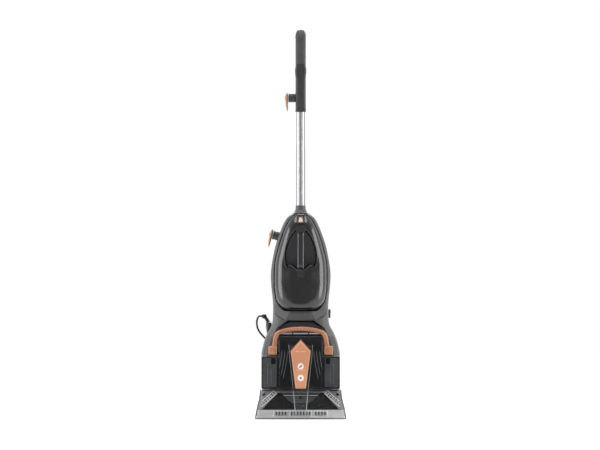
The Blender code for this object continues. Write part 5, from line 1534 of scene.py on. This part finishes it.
def make_tube():
    profile = [(TUBE_RADIUS - dip, z) for dip, z in (
        (0.0015, TUBE_TOP), (0.0003, TUBE_TOP), (0, TUBE_TOP - 0.0003),
        (0, TUBE_BOTTOM + 0.0003), (0.0003, TUBE_BOTTOM), (0.0015, TUBE_BOTTOM),
    )]
    tube = Shape().lathe(profile, (0, BODY_MIDDLE_Y, 0), steps=96, closed=True)
    tube.piece("chrome_pole", CHROME, "upright", "chrome", ("chrome_tube",))
    profile = [
        (TUBE_RADIUS + 0.0002, 0.019), (0.0143, 0.019), (0.0148, 0.0184), (0.015, 0.014), (0.0153, 0.01),
        (0.016, 0.006), (0.0172, 0.003), (0.0192, 0.0004), (0.0196, -0.0008), (TUBE_RADIUS + 0.0002, -0.0008),
    ]
    collar = Shape().lathe(profile, (0, BODY_MIDDLE_Y, 0.619), steps=72, closed=True)
    collar.piece("pole_collar", GRAPHITE, "upright", "graphite", ("tube_collar",))


def make_trigger():
    outline = rounded([
        (0.1275, 1.114, 0.002), (0.1275, 1.068, 0.003), (0.114, 1.064, 0.004), (0.11, 1.08, 0.006),
        (0.117, 1.114, 0.002),
    ])
    trigger = Shape().prism(outline, -0.0058, 0.0058, "X")
    for z in (1.076, 1.08, 1.084, 1.088):
        y = 0.11 + max(0.0, z - 1.08) * 0.007 / 0.034
        trigger.sweep([(x, y + 0.0004, z) for x in (-0.005, -0.0044, 0.0044, 0.005)], 0.0008, tip=0.0003)
    trigger.piece("trigger_lever", COPPER, "trigger", "copper", ("trigger",), edge=0.0009)


make_handle()
make_grip_pad()
make_tube()
make_trigger()


# ---- rear details

def make_grille():
    """Framed exhaust grille with slanted slats."""
    low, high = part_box("exhaust_grille")
    back, border = high.y, 0.0032
    grille = Shape().box((low.x, back - 0.005, low.z), (high.x, back - 0.004, high.z))
    for x0, x1, z0, z1 in (
        (low.x, high.x, low.z, low.z + border), (low.x, high.x, high.z - border, high.z),
        (low.x, low.x + border, low.z, high.z), (high.x - border, high.x, low.z, high.z),
    ):
        grille.box((x0, back - 0.0045, z0), (x1, back + 0.0004, z1), 0.0006, 1)
    for z in spread(low.z + 0.0065, high.z - 0.0065, 9):
        slat = [(-0.0042, -0.0012), (-0.0036, -0.0018), (-0.0002, 0.0006), (-0.0006, 0.0013)]
        grille.prism([(back + y, z + rise) for y, rise in slat], low.x + 0.002, high.x - 0.002, "X")
    grille.piece("grille_slats", BLACK, "upright", "black", ("exhaust_grille",))


def make_switch():
    """Rocker with an on bar and an off ring."""
    outline = rounded([
        (0.118, 0.3355, 0.001), (0.1262, 0.3355, 0.001), (0.125, 0.348, 0.004), (0.129, 0.3605, 0.001),
        (0.118, 0.3605, 0.001),
    ], 5)
    rocker = Shape().prism(outline, -0.01, 0.01, "X")
    rocker.piece("rocker", BLACK, "switch", "black", ("power_switch",), edge=0.0006)
    marks = Shape()
    slope = (0.129 - 0.125) / (0.3605 - 0.348)
    marks.sweep([(0, 0.125 + slope * (z - 0.348) + 0.0002, z) for z in (0.3525, 0.3575)], 0.0006)
    ring = [(0.0022 * cos(a), 0.1257, 0.3415 + 0.0022 * sin(a)) for a in spread(0, 2 * pi, 25)]
    marks.sweep(ring, 0.0005, caps=False)
    marks.piece("rocker_marks", CREAM, "switch", "black")


make_grille()
make_switch()


# ---- floor and light

def make_floor():
    look, tree = new_tree("floor_paint")
    shader = tree.nodes["Principled BSDF"].inputs
    feed(tree, shader["Base Color"], ramp(tree, noise(tree, 3.0), (0.3, 0.62), (0.7, 0.64)))
    for socket, value in (("Roughness", 0.9), ("Emission Color", (1.0, 1.0, 1.0, 1.0)),
                          ("Emission Strength", 0.56)):
        shader[socket].default_value = value
    mesh = bpy.data.meshes.new("floor")
    corners = [(x, y, -0.0012) for x, y in ((-6, -2.8), (6, -2.8), (6, 9), (-6, 9))]
    mesh.from_pydata(corners, [], [(0, 1, 2, 3)])
    mesh.materials.append(look)
    link("floor", mesh)


def area_light(name, place, target_z, size, power):
    light = bpy.data.lights.new(name, "AREA")
    light.shape = "RECTANGLE"
    light.size, light.size_y = size
    light.energy = power
    obj = link(name, light)
    obj.location = place
    obj.rotation_euler = (Vector((0, 0, target_z)) - Vector(place)).to_track_quat("-Z", "Y").to_euler()


def make_world():
    """A white studio, darker behind the camera, with a bright low strip at both sides for the tube."""
    world = bpy.data.worlds.new("studio")
    world.use_nodes = True
    tree = world.node_tree

    def maths(operation, *values):
        return add_node(tree, "Math", dict(enumerate(values)), operation=operation).outputs["Value"]

    def between(value, low, high, **limits):
        inputs = {"From Min": low, "From Max": high, "Value": value}
        inputs.update((socket.replace("_", " "), limit) for socket, limit in limits.items())
        return add_node(tree, "MapRange", inputs).outputs["Result"]

    place = add_node(tree, "TexCoord").outputs["Generated"]
    x, y, z = add_node(tree, "SeparateXYZ", {"Vector": place}).outputs
    shade = between(y, -0.75, 0.1, To_Min=0.36, To_Max=1.0)
    strip = maths("MULTIPLY", maths("COMPARE", z, 0.012, 0.016), between(maths("ABSOLUTE", x), 0.26, 0.4))
    sky = tree.nodes["Background"].inputs
    feed(tree, sky["Strength"], maths("MAXIMUM", shade, strip))
    sky["Color"].default_value = (1.0, 1.0, 1.0, 1.0)
    bpy.context.scene.world = world


make_floor()
area_light("left_bank", (-2.3, -0.5, 0.9), 0.5, (1.3, 2.2), 30)
area_light("right_bank", (2.3, -0.5, 0.9), 0.5, (1.3, 2.2), 30)
area_light("overhead", (0, -0.6, 3.2), 0.5, (2.4, 1.4), 36)
area_light("rear_fill", (0, 2.6, 1.6), 0.6, (2.0, 1.6), 22)
make_world()
